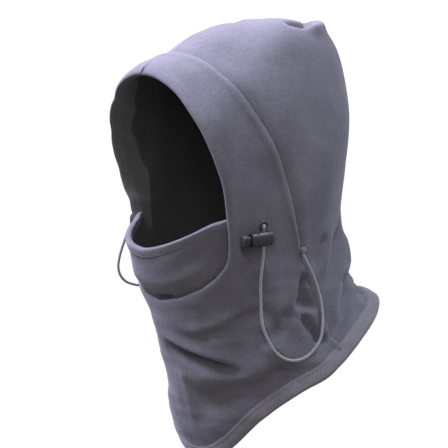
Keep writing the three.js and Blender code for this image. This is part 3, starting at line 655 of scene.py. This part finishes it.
COOL = (0.85, 0.83, 1.0)
PLAIN = (0.9, 0.9, 0.9)
FLEECE = brushed("fleece", (0.030, 0.0285, 0.0335), (0.050, 0.048, 0.056), 0.055, COOL)
FACING = brushed("facing_fleece", (0.024, 0.024, 0.0235), (0.040, 0.040, 0.039), 0.04, PLAIN)
LINING_CLOTH = brushed("lining_fleece", (0.0105, 0.010, 0.0102), (0.019, 0.018, 0.019), 0.03, PLAIN)
TAPE = brushed("hem_tape", (0.046, 0.0435, 0.049), (0.072, 0.068, 0.077), 0.055, COOL, bump=0.35)
CORD = braided("braided_elastic", (0.052, 0.053, 0.056))
DARK_CORD = braided("dark_elastic", (0.012, 0.012, 0.014))
THREAD = braided("thread", (0.024, 0.023, 0.027))
PLASTIC = moulded("lock_plastic", (0.0045, 0.0047, 0.006), 0.5, specular=0.22)
STEEL = moulded("spring_steel", (0.62, 0.62, 0.64), 0.28, 1.0)


# -------- meshes

def add_mesh(name, points, faces, material, body=HOOD, stands_for=(), sharp=50):
    """A smooth-shaded object from points in mm and faces, riding on a body once it is whole."""
    mesh = bpy.data.meshes.new(name)
    mesh.from_pydata((np.asarray(points) * MM).tolist(), [], [list(face) for face in faces])
    mesh.update()
    mesh.polygons.foreach_set("use_smooth", [True] * len(mesh.polygons))
    mesh.set_sharp_from_angle(angle=math.radians(sharp))
    mesh.materials.append(material)
    obj = bpy.data.objects.new(name, mesh)
    bpy.context.scene.collection.objects.link(obj)
    if stands_for:
        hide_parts(*stands_for)
    if body:
        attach(obj, body)
    return obj


def facing_out(points, faces):
    """Faces with four corners, turned over if they face in."""
    p = points[faces]
    halves = [(p[:, 0], p[:, 1], p[:, 2]), (p[:, 0], p[:, 2], p[:, 3])]
    volume = sum((a * np.cross(b, c)).sum() for a, b, c in halves)
    return faces if volume > 0 else faces[:, ::-1]


def grid_faces(rows, columns, wrap=False, closed=False):
    """Faces of a grid of points, joined along its rows if wrap, and down its columns if closed."""
    k = np.arange(rows * columns).reshape(rows, columns)
    if wrap:
        k = np.hstack([k, k[:, :1]])
    if closed:
        k = np.vstack([k, k[:1]])
    return np.stack([k[:-1, :-1], k[:-1, 1:], k[1:, 1:], k[1:, :-1]], -1).reshape(-1, 4)


def closed_sheet(outer, inner):
    """Points and faces of cloth with thickness, from its two faces as grids."""
    rows, columns = outer.shape[:2]
    count = rows * columns
    points = np.concatenate([outer.reshape(-1, 3), inner.reshape(-1, 3)])
    top = grid_faces(rows, columns)
    k = np.arange(count).reshape(rows, columns)
    rim = np.concatenate([k[0], k[1:, -1], k[-1, -2::-1], k[-2:0:-1, 0]])
    after = np.roll(rim, -1)
    side = np.stack([rim, rim + count, after + count, after], -1)
    faces = np.concatenate([top, top[:, ::-1] + count, side])
    return points, facing_out(points, faces)


def lathe(rings):
    """A closed skin over rings of points, its first and last rings drawn to a point."""
    points = np.concatenate(rings)
    sides = len(rings[0])
    faces = [tuple(face) for face in grid_faces(len(rings), sides, wrap=True)]
    ends = [np.mean(rings[0], axis=0), np.mean(rings[-1], axis=0)]
    first, last = len(points), len(points) + 1
    base = (len(rings) - 1) * sides
    for i in range(sides):
        j = (i + 1) % sides
        faces.append((first, j, i))
        faces.append((last, base + i, base + j))
    return np.concatenate([points, ends]), faces


def turned_out(points, faces):
    """Faces of any size, turned over if they face in."""
    volume = sum(np.dot(points[f[0]], np.cross(points[f[k]], points[f[k + 1]]))
                 for f in faces for k in range(1, len(f) - 1))
    return faces if volume > 0 else [tuple(reversed(face)) for face in faces]


def placed(points, frame_of):
    """Points given in the axes of a fitting."""
    origin, axes = frame_of
    return origin + np.asarray(points) @ axes.T


def add_skin(name, rings, material, body=HOOD, stands_for=(), sharp=50, frame_of=None):
    """A closed skin over rings, which are in a fitting's axes if frame_of is given."""
    points, faces = lathe(rings)
    if frame_of:
        points = placed(points, frame_of)
    return add_mesh(name, points, turned_out(points, faces), material, body, stands_for, sharp)


# -------- fabric panels

def rolled(distance, radius):
    """How far an edge turns in, in mm, at a distance from it: a quarter circle."""
    d = np.clip(radius - distance, 0, radius)
    return radius - np.sqrt(radius * radius - d * d)


def line_lengths(map_disc, s):
    parts = surface(map_disc(*np.meshgrid(s, np.linspace(0, 1, 25), indexing="ij")))
    return np.linalg.norm(np.diff(parts, axis=1), axis=-1).sum(1)


EDGE_STEPS = np.array([0.15, 0.5, 0.95, 1.5, 2.2, 3.2, 4.4])


def across_panel(length, start, end, count):
    """Shares of a line, from start to end in mm, with close steps at both ends."""
    near = start + EDGE_STEPS
    far = end - EDGE_STEPS[::-1]
    middle = lerp(near[-1], far[0], np.linspace(0, 1, count)[1:-1])
    return np.concatenate([near, middle, far]) / length


def panel_grid(map_disc, s_values, start, end, count, side):
    """A panel's disc places, their line numbers, and their distances in mm from both ends of their lines."""
    lengths = line_lengths(map_disc, s_values)
    starts = start(s_values, lengths)
    ends = end(s_values, lengths)
    t = np.stack([across_panel(*row, count) for row in zip(lengths, starts, ends)])
    s = np.repeat(s_values[:, None], t.shape[1], 1)
    disc = map_disc(s, t)
    if side == "right":
        disc = disc * MIRROR
    from_start = t * lengths[:, None] - starts[:, None]
    to_end = ends[:, None] - t * lengths[:, None]
    return disc, s, from_start, to_end


# Where a panel's lines start and end, in mm. panel_grid leaves a small gap at both ends, which onto_line and
# up_to_line close, so that two pieces meet on the line.

def whole(s, lengths):
    return lengths


def up_to_line(s, lengths):
    return lengths + EDGE_STEPS[0]


def nothing(s, lengths):
    return 0 * lengths


def onto_line(s, lengths):
    return nothing(s, lengths) - EDGE_STEPS[0]


def to_facing_edge(side, beyond=0.0):
    """The facing narrows towards the chin, and its sewn edge wanders."""
    phase = 0 if side == "left" else 1.3

    def width(s, lengths):
        wander = 2.6 * np.sin(2.1 * s + phase) + 1.4 * np.sin(4.7 * s + 2 * phase)
        narrow = lerp(FACING_TOP, FACING_BOTTOM, smooth(s, 6, HEM_CORNER))
        return narrow + wander * smooth(s, 0, 1) * smooth(s, 9, 7) + beyond

    return width


FRONT_ROWS = np.concatenate([np.linspace(0, 9.9, 150), np.linspace(10, LAST_LINE, 130)])
CROWN_ROWS = np.concatenate([[0.03, 0.08, 0.14], np.linspace(0.2, HEM_CORNER, 165)])


def add_cloth(name, side, disc, outer, inner, material, node_name):
    """A piece of cloth between two depths in mm inside the settled surface. It rides on its body later."""
    place, n = shaped(disc)
    points, faces = closed_sheet(place - outer[..., None] * n, place - inner[..., None] * n)
    return add_mesh(f"{name}_{side}", points, faces, material, None, [f"{node_name}_{side}"])


def from_centre(disc):
    """Distance from the hood's centre line, in mm."""
    return np.abs(shaped(disc)[0][..., 0])


def front_panel(side):
    disc, s, from_brim, to_seam = panel_grid(front_disc, FRONT_ROWS, nothing, whole, 64, side)
    sewn = smooth(s, HEM_CORNER + 0.2, HEM_CORNER - 0.2)
    seam = sewn * rolled(to_seam, 2.1)
    middle = (1.3 - 1.1 * smooth(from_brim, 4, 16)) * smooth(s, 9, 1) * rolled(from_centre(disc), 2.0)
    turn = rolled(from_brim, 2.5)
    puff = -1.4 * bell(to_seam, 6.5, 4.5) * sewn - 0.5 * bell(from_brim, 6, 4)
    outer = np.minimum(np.maximum.reduce([seam, middle, turn]) + puff, SHELL + 0.28)
    inner = np.maximum(SHELL + puff, outer + 0.05)
    return add_cloth("front_fleece", side, disc, outer, inner, FLEECE, "front_panel")


def crown_panel(side):
    disc, _, from_seam, _ = panel_grid(crown_disc, CROWN_ROWS, nothing, up_to_line, 44, side)
    centre = from_centre(disc)
    dip = 1.9 * bell(from_seam, 0, 5.5)
    puff = -0.4 * bell(centre, 5, 3)
    turned = np.maximum(rolled(from_seam, 2.0), 0.5 * rolled(centre, 1.6))
    outer = np.minimum(turned + dip + puff, SHELL + 2.0)
    inner = np.maximum(SHELL + dip + puff, outer + 0.05)
    return add_cloth("crown_fleece", side, disc, outer, inner, FLEECE, "crown_panel")


def brim_facing(side):
    disc, _, from_brim, to_edge = panel_grid(front_disc, FRONT_ROWS, nothing, to_facing_edge(side), 7, side)
    settle = lerp(SHELL + EDGE_LOOSE, LINING_INSET, smooth(from_brim, 0, 8))
    turned = np.maximum(rolled(from_brim, 2.4), rolled(to_edge, 1.2))
    inner = np.maximum(settle + LINING - turned, SHELL + 0.45)
    outer = np.minimum(np.maximum(settle - 0.6 * bell(from_brim, 0, 1.5), SHELL + 0.35), inner - 0.05)
    return add_cloth("facing", side, disc, outer, inner, FACING, "brim_facing")


def lining(name, map_disc, rows, start, count, side, node_name):
    disc, s, from_start, to_end = panel_grid(map_disc, rows, start, up_to_line, count, side)
    edges = np.minimum(rolled(from_start, 1.2) + rolled(to_end, 1.2) * (s < HEM_CORNER), 1.3)
    outer = np.full(s.shape, LINING_INSET)
    inner = outer + LINING - edges
    return add_cloth(name, side, disc, outer, inner, LINING_CLOTH, node_name)


def mask_disc(u, v):
    top = lerp(MASK["top_middle"], MASK["top_end"], np.abs(u) ** 1.6)
    bottom = lerp(MASK["bottom_middle"], MASK["bottom_end"], u * u)
    reach = lerp(MASK["reach_top"], MASK["reach"], smooth(v, 0.05, 0.6))
    return to_disc(lerp(top, bottom, v), reach * u)


def mask_inset(u, v):
    """How deep the mask lies: over the brim in the middle, behind the facing at its sides and foot."""
    tucked = SHELL + LOOSE + LINING + MASK_TUCK
    low = smooth(v, 0.3, 0.8)
    middle = 1 - smooth(np.abs(u), lerp(0.2, 0.45, low), lerp(0.85, 0.97, low))
    top = 1 - smooth(v, 0.45, 1.06)
    at_brim = (tucked - MASK_CORNER) * smooth(np.abs(u), 0.82, 1) * (1 - smooth(v, 0.1, 0.4))
    shallow = lerp(3.0, -0.5, smooth(v, 0.15, 0.5))
    return tucked - (tucked - shallow) * middle * top - at_brim


MASK_FOLDS = [
    # path of (u, v), depth, width in shares of the mask
    ([(-0.1, 0.34), (0.25, 0.42), (0.6, 0.36), (0.92, 0.30)], 1.5, 0.10),
    ([(0.0, 0.62), (0.3, 0.66), (0.65, 0.58), (0.95, 0.55)], 1.3, 0.12),
    ([(-0.95, 0.42), (-0.6, 0.5), (-0.3, 0.45)], 1.4, 0.11),
    ([(0.75, 0.05), (0.82, 0.4), (0.86, 0.8)], 1.0, 0.10),
    ([(0.1, 0.16), (0.4, 0.2), (0.7, 0.15)], -0.7, 0.07),
    ([(-0.08, 0.71), (0.05, 0.73), (0.18, 0.72)], 5.0, 0.045),
]


def mask_relief(u, v):
    flat = np.stack([u.ravel() * 1.6, v.ravel(), 0 * u.ravel()], -1)
    height = np.zeros(len(flat))
    for places, depth, width in MASK_FOLDS:
        path = through([(a * 1.6, b, 0) for a, b in places], 30)
        gap, share, _ = distance_to(flat, path)
        height -= depth * bell(gap, 0, width) * faded(share)
    return height.reshape(u.shape) * smooth(v, 0, 0.2)


def mask_layer(name, u_count, v_values, depth, thickness, material, node_name):
    u, v = np.meshgrid(np.linspace(-1, 1, u_count), v_values, indexing="ij")
    disc = mask_disc(u, v)
    n = normal(disc)
    face = surface(disc) - (mask_inset(u, v) - mask_relief(u, v))[..., None] * n
    points, faces = closed_sheet(face - depth * n, face - (depth + thickness) * n)
    return add_mesh(name, points, faces, material, None, [node_name])


def on_mask(u, v, inset):
    """Points of the mask's top band, inset mm inside its outer face."""
    disc = mask_disc(u, np.full_like(u, v))
    face = mask_inset(u, np.full_like(u, max(v, MASK_EDGE)))
    return surface(disc) - (face + inset)[:, None] * normal(disc)


def mask_binding():
    """The flat folded strip over the mask's top edge. Its lower edges fade into the cloth."""
    middle = (SHELL + GAP + LINING) / 2
    half = middle + GAP + 0.6
    u = np.linspace(-1, 1, 161)
    thinner = 0.5 * smooth(np.abs(u), 0.9, 1)
    # shares of the tape's height with how far its outer and inner legs are sunk, and where its inside lies
    leg = [(1.0, 0.75), (0.97, 0.48), (0.92, 0.30), (0.84, 0.20), (0.70, 0.08), (0.50, 0)]
    core = [(0.97, 1), (0.3, 1), (0.3, -1), (0.97, -1)]
    profile = [(MASK_TAPE * share, sunk - half) for share, sunk in leg]
    fold = np.radians(np.linspace(-90, 90, 13))
    profile += [(MASK_EDGE * (1 - math.cos(a)), half * math.sin(a)) for a in fold]
    profile += [(MASK_TAPE * share, half - sunk) for share, sunk in leg[::-1]]
    profile += [(MASK_TAPE * share, face * (middle + 0.1)) for share, face in core]
    rings = []
    for v, away in profile:
        least = min(abs(away), middle + 0.1)
        rings.append(on_mask(u, v, middle + np.sign(away) * np.maximum(abs(away) - thinner, least)))
    return add_skin("mask_edge_tape", np.stack(rings, 1), FLEECE, "mask_edge", ["mask_top_binding"],
                    60)


def hem_lines(angles):
    """A function that gives places and normals, a height in mm above the hood's lower edge."""
    edge = to_disc(1.0, angles)
    low, normals = shaped(edge)
    step = low - shaped(edge * (1 - HEM_STEP))[0]
    per_mm = HEM_STEP / np.linalg.norm(step, axis=-1)

    def at(rise):
        if rise > 0:
            return shaped(edge * (1 - per_mm * rise)[:, None])
        return low - unit(step) * rise, normals

    return at


def hem_tape(side):
    """The turned hem: a soft band round the lower edge of shell and lining."""
    at = hem_lines(np.linspace(0, 180, 200) * (1 if side == "left" else -1))
    inside = LINING_INSET + LINING
    # heights above the edge and insets, down the outside, round the foot, up the inside and back between
    outside = [(HEM_HEIGHT, -0.05), (HEM_HEIGHT - 0.6, -0.45), (HEM_HEIGHT - 1.8, -0.75), (9.8, -0.75),
               (9.0, -0.6), (8.2, -0.85), (6.0, -1.2), (3.6, -1.4), (1.6, -1.4)]
    centre, half = (inside - 0.1) / 2, (inside + 3.1) / 2
    turn = np.radians(np.linspace(0, 180, 15))[1:-1]
    foot = [(1.6 - 4.0 * math.sin(a), centre - half * math.cos(a)) for a in turn]
    behind = [(1.6, inside + 1.5), (5, inside + 1.5), (8.2, inside + 1.3), (9.0, inside + 0.9),
              (9.8, inside + 1.2), (HEM_HEIGHT - 0.5, inside + 1.0), (HEM_HEIGHT, inside + 0.3)]
    between = [(HEM_HEIGHT - 1, inside + 0.2), (1.2, inside + 0.2), (1.2, -0.15), (HEM_HEIGHT - 1, -0.12)]
    rings = []
    for rise, inset in outside + foot + behind + between:
        place, n = at(rise)
        rings.append(place - inset * n)
    return add_skin(f"hem_{side}", np.stack(rings, 1), TAPE, HOOD, [f"hem_band_{side}"], 60)


shells = [make(side) for make in (front_panel, crown_panel, brim_facing) for side in SIDES]
linings = [lining("front_liner", front_disc, FRONT_ROWS, to_facing_edge(side, 0.2), 50, side, "front_lining")
           for side in SIDES]
linings += [lining("crown_liner", crown_disc, CROWN_ROWS, onto_line, 44, side, "crown_lining")
            for side in SIDES]
MASK_ROWS = np.concatenate([[MASK_EDGE, 0.06, 0.10], np.linspace(MASK_TAPE, 1, 30)])
mask = mask_layer("mask_fleece", 141, MASK_ROWS, 0, SHELL, FLEECE, "mask_panel")
mask_back = mask_layer("mask_liner", 91, MASK_ROWS[::2], SHELL + GAP, LINING, LINING_CLOTH, "mask_lining")
mask_tape = mask_binding()
for side in SIDES:
    hem_tape(side)

for piece in shells + linings:
    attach(piece, HOOD)
for piece in (mask, mask_back):
    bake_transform(piece)


# -------- cords

def circle(count):
    return np.arange(count) * 2 * math.pi / count


def tube(points, radius, sides, relief=None):
    """Rings round a path, carried along it without twist. relief(angles, length) adds to the radius."""
    run = unit(np.gradient(points, axis=0))
    radii = np.broadcast_to(radius, len(points))
    across = unit(np.cross(run[0], ODD_DIRECTION))
    angles = circle(sides)
    rings = []
    for place, ahead, length, size in zip(points, run, along(points), radii):
        across = unit(across - ahead * np.dot(across, ahead))
        r = (size + (relief(angles, length) if relief else 0 * angles))[:, None]
        rings.append(place + r * (np.cos(angles)[:, None] * across
                                  + np.sin(angles)[:, None] * np.cross(ahead, across)))
    return rings


def braid(angles, length):
    """Two sets of strands that wind opposite ways round a cord and cross."""
    turn = 4 * math.pi * length / BRAID_PITCH
    return 0.10 * np.maximum(np.cos(4 * angles + turn), np.cos(4 * angles - turn)) - 0.05


def fitting_frame(place, stand, turn, side):
    """Origin and axes of a fitting on the surface: x to the front, y outwards, z up."""
    disc = to_disc(*place)
    out = normal(disc)
    front = unit(np.cross(out, [0, 0, 1]))
    axes = np.stack([front, out, np.cross(front, out)], -1)
    c, s = math.cos(math.radians(turn)), math.sin(math.radians(turn))
    axes = axes @ np.array([[c, 0, s], [0, 1, 0], [-s, 0, c]])
    origin = surface(disc) + stand * out
    if side == "right":
        flip = np.array([-1, 1, 1])
        return origin * flip, axes * flip[:, None]
    return origin, axes


LOCK_FRAMES = {side: fitting_frame(LOCK_AT[side], LOCK_STAND, LOCK_TURN[side], side) for side in SIDES}
EYELET_FRAMES = {side: fitting_frame(EYELET_AT, 0, 0, side) for side in SIDES}
for side in SIDES:
    path = even(LOOP[side], 0.5)
    loop = add_skin(f"loop_cord_{side}", tube(path, CORD_RADIUS, 16, braid), CORD, HOOD,
                    [f"cord_loop_{side}"], 80)


def drawcord_end(side, depth):
    """The drawcord's way from inside the lock, through the eyelet and up to the channel."""
    mirror, up = (1, 1) if side == "left" else (MIRROR, -1)
    in_lock = placed([(-CORD_IN_LOCK, 0, z * up) for z in (-5, 0, 5.5)], LOCK_FRAMES[side])
    in_eyelet = placed([(0, y, 0) for y in (1, -1.5, -3.8)], EYELET_FRAMES[side])
    place, n = shaped(disc_list(EYELET_TO_CHANNEL) * mirror)
    return np.concatenate([in_lock, AROUND_LOCK[side], in_eyelet, place - (depth + 0.5) * n])


def drawcord_route():
    depth = SHELL + LOOSE / 2 - 0.1
    s = np.linspace(6.5, 0, 14)
    disc = front_disc(s, CHANNEL_INSET / line_lengths(front_disc, s))
    place, n = shaped(np.concatenate([disc, disc[-2::-1] * MIRROR]))
    left, right = (drawcord_end(side, depth) for side in SIDES)
    return np.concatenate([left, place - depth * n, right[::-1]])


add_skin("captive_cord", tube(even(drawcord_route(), 0.8), CORD_RADIUS, 14, braid), DARK_CORD, HOOD,
         ["drawcord"], 80)


# -------- cord locks, eyelets, tacks and stitches

def oblong(height, depth, power):
    """A rounded oblong in y and z."""
    angles = circle(ROUND_SIDES)
    c, s = np.cos(angles), np.sin(angles)
    y = depth / 2 * np.sign(c) * np.abs(c) ** (2 / power)
    z = height / 2 * np.sign(s) * np.abs(s) ** (2 / power)
    return np.stack([0 * y, y, z], -1)


def bar(stations, power=2.8):
    """Rings of a bar along x. Each station is x, height and depth."""
    return [oblong(height, depth, power) + np.array([x, 0, 0]) for x, height, depth in stations]


def rounded_end(x, height, depth, radius, direction, count=6):
    """Stations that round a bar's end off, from its tip at x towards direction."""
    found = []
    for a in np.linspace(0, math.pi / 2, count + 1):
        inset = radius * (1 - math.sin(a))
        found.append((x + direction * radius * (1 - math.cos(a)), height - 2 * inset, depth - 2 * inset))
    return found


def drill(obj, rings, frame_of):
    """Cuts a closed tool out of a mesh object, exactly, and keeps the result."""
    tool = add_skin("tool", rings, PLASTIC, None, frame_of=frame_of)
    knife = obj.modifiers.new("cut", "BOOLEAN")
    knife.operation, knife.solver, knife.object = "DIFFERENCE", "EXACT", tool
    result = bpy.data.meshes.new_from_object(obj.evaluated_get(bpy.context.evaluated_depsgraph_get()))
    obj.modifiers.remove(knife)
    result.polygons.foreach_set("use_smooth", [True] * len(result.polygons))
    result.set_sharp_from_angle(angle=math.radians(38))
    obj.data = result
    bpy.data.objects.remove(tool)


def cord_hole(slot, reach):
    """Rings of a tool for the cord's hole along z, flared where it leaves the moulding."""
    angles = circle(40)
    flares = [(reach - 2, 0), (reach - 0.9, 0.05), (reach - 0.3, 0.4), (reach + 0.2, 0.9), (14, 3.0)]
    rings = []
    for z, flare in [(-z, flare) for z, flare in flares[::-1]] + flares:
        r = LOCK["hole"] + flare
        x = -CORD_IN_LOCK + r * np.cos(angles) + slot * (np.cos(angles) > 0)
        rings.append(np.stack([x, r * np.sin(angles), np.full(len(angles), z)], -1))
    return rings


def lock_body(side):
    """A barrel closed at one end, with two grooves, a bore for the plunger and a hole for the cord."""
    length, height, depth = LOCK["length"], LOCK["height"], LOCK["depth"]
    closed, mouth = -length / 2, length / 2
    bore_end = closed + LOCK["wall"]
    bore, bore_depth = LOCK["bore"], LOCK["bore_depth"]
    outside = [(-6.5, 0), (-6.2, -0.5), (-5.9, 0), (6.0, 0), (6.3, -0.5), (6.6, 0)]
    stations = rounded_end(closed, height, depth, 4.4, 1, 12)
    stations += [(x, height + more, depth + more) for x, more in outside[:3]]
    stations += [(x, height + 0.5, depth + 0.3) for x in (-3, 3)]
    stations += [(x, height + more, depth + more) for x, more in outside[3:]]
    stations += rounded_end(mouth, height, depth, 0.9, -1, 5)[::-1]
    inside = [(mouth - 0.02, 1.2), (mouth - 0.5, 0.2), (mouth - 1.2, 0), (0, 0), (bore_end + 0.4, 0),
              (bore_end, -1)]
    stations += [(x, bore + more, bore_depth + more) for x, more in inside]
    body = add_skin(f"lock_body_{side}", bar(stations), PLASTIC, None, [f"cord_lock_body_{side}"],
                    frame_of=LOCK_FRAMES[side])
    drill(body, cord_hole(0, height / 2), LOCK_FRAMES[side])
    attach(body, HOOD)


def lock_plunger(side):
    """A bar with a slot for the cord and a ribbed head."""
    back = -CORD_IN_LOCK - LOCK["hole"] - 1.6
    head = LOCK["length"] / 2 + PLUNGER["travel"] + 0.8
    height, depth = PLUNGER["height"], PLUNGER["depth"]
    wide, deep = PLUNGER["head_height"], PLUNGER["head_depth"]
    stations = rounded_end(back, height, depth, 0.6, 1, 4)
    stations += [(0, height, depth), (head - 0.4, height, depth), (head, height + 0.5, depth + 0.5)]
    stations += rounded_end(head, wide, deep, 0.8, 1, 4)
    for k in range(3):
        x = head + 1.3 + 0.75 * k
        stations += [(x, wide, deep), (x + 0.2, wide - 0.5, deep - 0.5), (x + 0.4, wide, deep)]
    stations += rounded_end(head + PLUNGER["head"], wide, deep, 1.4, -1, 6)[::-1]
    plunger = add_skin(f"lock_plunger_{side}", bar(stations), PLASTIC, None, [f"cord_lock_plunger_{side}"],
                       frame_of=LOCK_FRAMES[side])
    drill(plunger, cord_hole(PLUNGER["travel"] + 0.6, height / 2), LOCK_FRAMES[side])
    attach(plunger, f"lock_plunger_{side}")


def eyelet(side):
    """A flanged ring on both faces of the fleece, its outer flange softly crowned."""
    hole, flange = EYELET["hole"], EYELET["flange"]
    face = GAP + EYELET["thickness"]
    low = -SHELL - GAP
    profile = [(hole, low - 0.2), (hole + 0.3, low - EYELET["inner"]), (flange - 0.2, low - EYELET["inner"]),
               (flange, low - 0.1), (flange - 0.2, low), (hole + 0.8, low), (hole + 0.8, GAP),
               (flange - 0.1, GAP), (flange, GAP + 0.15), (flange - 0.15, GAP + 0.5),
               (flange - 0.6, face - 0.08), (flange - 1.1, face), (hole + 0.6, face - 0.05),
               (hole + 0.2, face - 0.3), (hole, GAP)]
    angles = circle(ROUND_SIDES)
    c, s = np.cos(angles), np.sin(angles)
    rings = [np.stack([r * c, np.full(ROUND_SIDES, y), r * s], -1) for r, y in profile]
    points = placed(np.concatenate(rings), EYELET_FRAMES[side])
    faces = facing_out(points, grid_faces(len(rings), ROUND_SIDES, wrap=True, closed=True))
    add_mesh(f"eyelet_{side}", points, faces, PLASTIC, HOOD, [f"cord_eyelet_{side}"], 40)


def add_stitches(name, paths, radius, body):
    """Short threads, each a tube with round ends, as one mesh."""
    taper = np.array([0.35, 0.8, 1, 1, 0.8, 0.35])
    share = np.linspace(0, 1, len(taper))
    points, faces, count = [], [], 0
    for path in paths:
        line = np.stack([np.interp(share, np.linspace(0, 1, len(path)), path[:, k]) for k in range(3)], -1)
        some, some_faces = lathe(tube(line, radius * taper, 8))
        points.append(some)
        faces += [tuple(k + count for k in face) for face in turned_out(some, some_faces)]
        count += len(some)
    return add_mesh(name, np.concatenate(points), faces, THREAD, body, (), sharp=80)


def stitch_row(place_at, step=3.4, share=0.72):
    """Threads along a line: place_at(f) gives points for shares f of the line."""
    count = int(along(place_at(np.linspace(0, 1, 200)))[-1] / step)
    return [place_at(np.linspace(f, f + share / count, 5)) for f in np.arange(count) / count]


def hem_thread(f):
    points, n = hem_lines(lerp(-179.4, 179.4, f))(9.0)
    return points + 0.62 * n


def mask_thread(f):
    return on_mask(lerp(-0.97, 0.97, f), MASK_TAPE * 0.86, -0.66)


def cord_tack(side):
    """A folded tab that holds the cord's end in the seam, sewn over with a close zigzag."""
    frame_of = fitting_frame(TACK_AT, TACK_STAND, 0, side)
    width, height, depth = TACK["width"], TACK["height"], TACK["depth"]
    stations = rounded_end(-width / 2, height, depth, 1.0, 1, 5)
    stations += [(x, height + 0.2, depth + 0.1) for x in (-1, 1)]
    stations += rounded_end(width / 2, height, depth, 1.0, -1, 5)[::-1]
    add_skin(f"cord_tab_{side}", bar(stations, 4), TAPE, HOOD, [f"cord_end_tack_{side}"],
             frame_of=frame_of)
    zigzag = []
    for x in np.linspace(-2.2, 2.2, 9):
        low, high = (x - 0.25, depth / 2 - 0.02, -1.7), (x + 0.25, depth / 2 - 0.02, 1.7)
        zigzag.append(placed(np.linspace(low, high, 5), frame_of))
    add_stitches(f"tab_stitches_{side}", zigzag, 0.22, HOOD)


for side in SIDES:
    lock_body(side)
    lock_plunger(side)
    eyelet(side)
    cord_tack(side)
    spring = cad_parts[f"cord_lock_spring_{side}"]
    spring.data.materials.clear()
    spring.data.materials.append(STEEL)

add_stitches("hem_stitches", stitch_row(hem_thread), 0.28, HOOD)
mask_stitches = add_stitches("mask_stitches", stitch_row(mask_thread), 0.22, "mask_edge")


# -------- floor and light

FLOOR_BELOW = 0.16
FLOOR_HALF = 14.0


def add_floor():
    """A wide plain floor, well below the hood, which something else holds up."""
    z = float(cad_box[0][2]) - FLOOR_BELOW
    corners = [(x * FLOOR_HALF, y * FLOOR_HALF, z) for x, y in ((-1, -1), (1, -1), (1, 1), (-1, 1))]
    mesh = bpy.data.meshes.new("floor")
    mesh.from_pydata(corners, [], [(0, 1, 2, 3)])
    board = Finish("floor", (0.93, 0.93, 0.93), 0.9, Specular_IOR_Level=0.0)
    board.feed("Base Color", board.spread(board.noise(0.8), 0.3, 0.7, 0.925, 0.935))
    mesh.materials.append(board.material)
    floor = bpy.data.objects.new("floor", mesh)
    bpy.context.scene.collection.objects.link(floor)
    return floor


LIGHT_AIM = Vector((0, 0.02, 0))
LIGHTS = [
    # name, place, power, colour
    ("key", (-0.5, -0.9, 1.4), 245, (0.76, 0.765, 1.0)),
    ("rim", (0.6, 0.6, 1.5), 100, (0.73, 0.78, 1.0)),
    ("side", (-0.9, -0.3, 1.5), 120, (0.80, 0.78, 1.0)),
    ("fill", (1.4, -1.0, 0.6), 36, (0.97, 0.95, 1.0)),
]


def add_area_light(name, place, power, colour, unlit):
    data = bpy.data.lights.new(name, "AREA")
    data.shape = "DISK"
    data.size = 1.0
    data.energy = power
    data.color = colour
    light = bpy.data.objects.new(name, data)
    light.location = place
    light.rotation_euler = (LIGHT_AIM - Vector(place)).to_track_quat("-Z", "Y").to_euler()
    bpy.context.scene.collection.objects.link(light)
    receivers = bpy.data.collections.new(name + "_receivers")
    receivers.objects.link(unlit)
    receivers.collection_objects[0].light_linking.link_state = "EXCLUDE"
    light.light_linking.receiver_collection = receivers


def add_world():
    world = bpy.data.worlds.new("studio")
    world.use_nodes = True
    background = world.node_tree.nodes["Background"]
    background.inputs["Color"].default_value = (1, 1, 1, 1)
    background.inputs["Strength"].default_value = 1.09
    bpy.context.scene.world = world


the_floor = add_floor()
for light in LIGHTS:
    add_area_light(*light, the_floor)
add_world()
bpy.context.scene.view_settings.view_transform = "Standard"
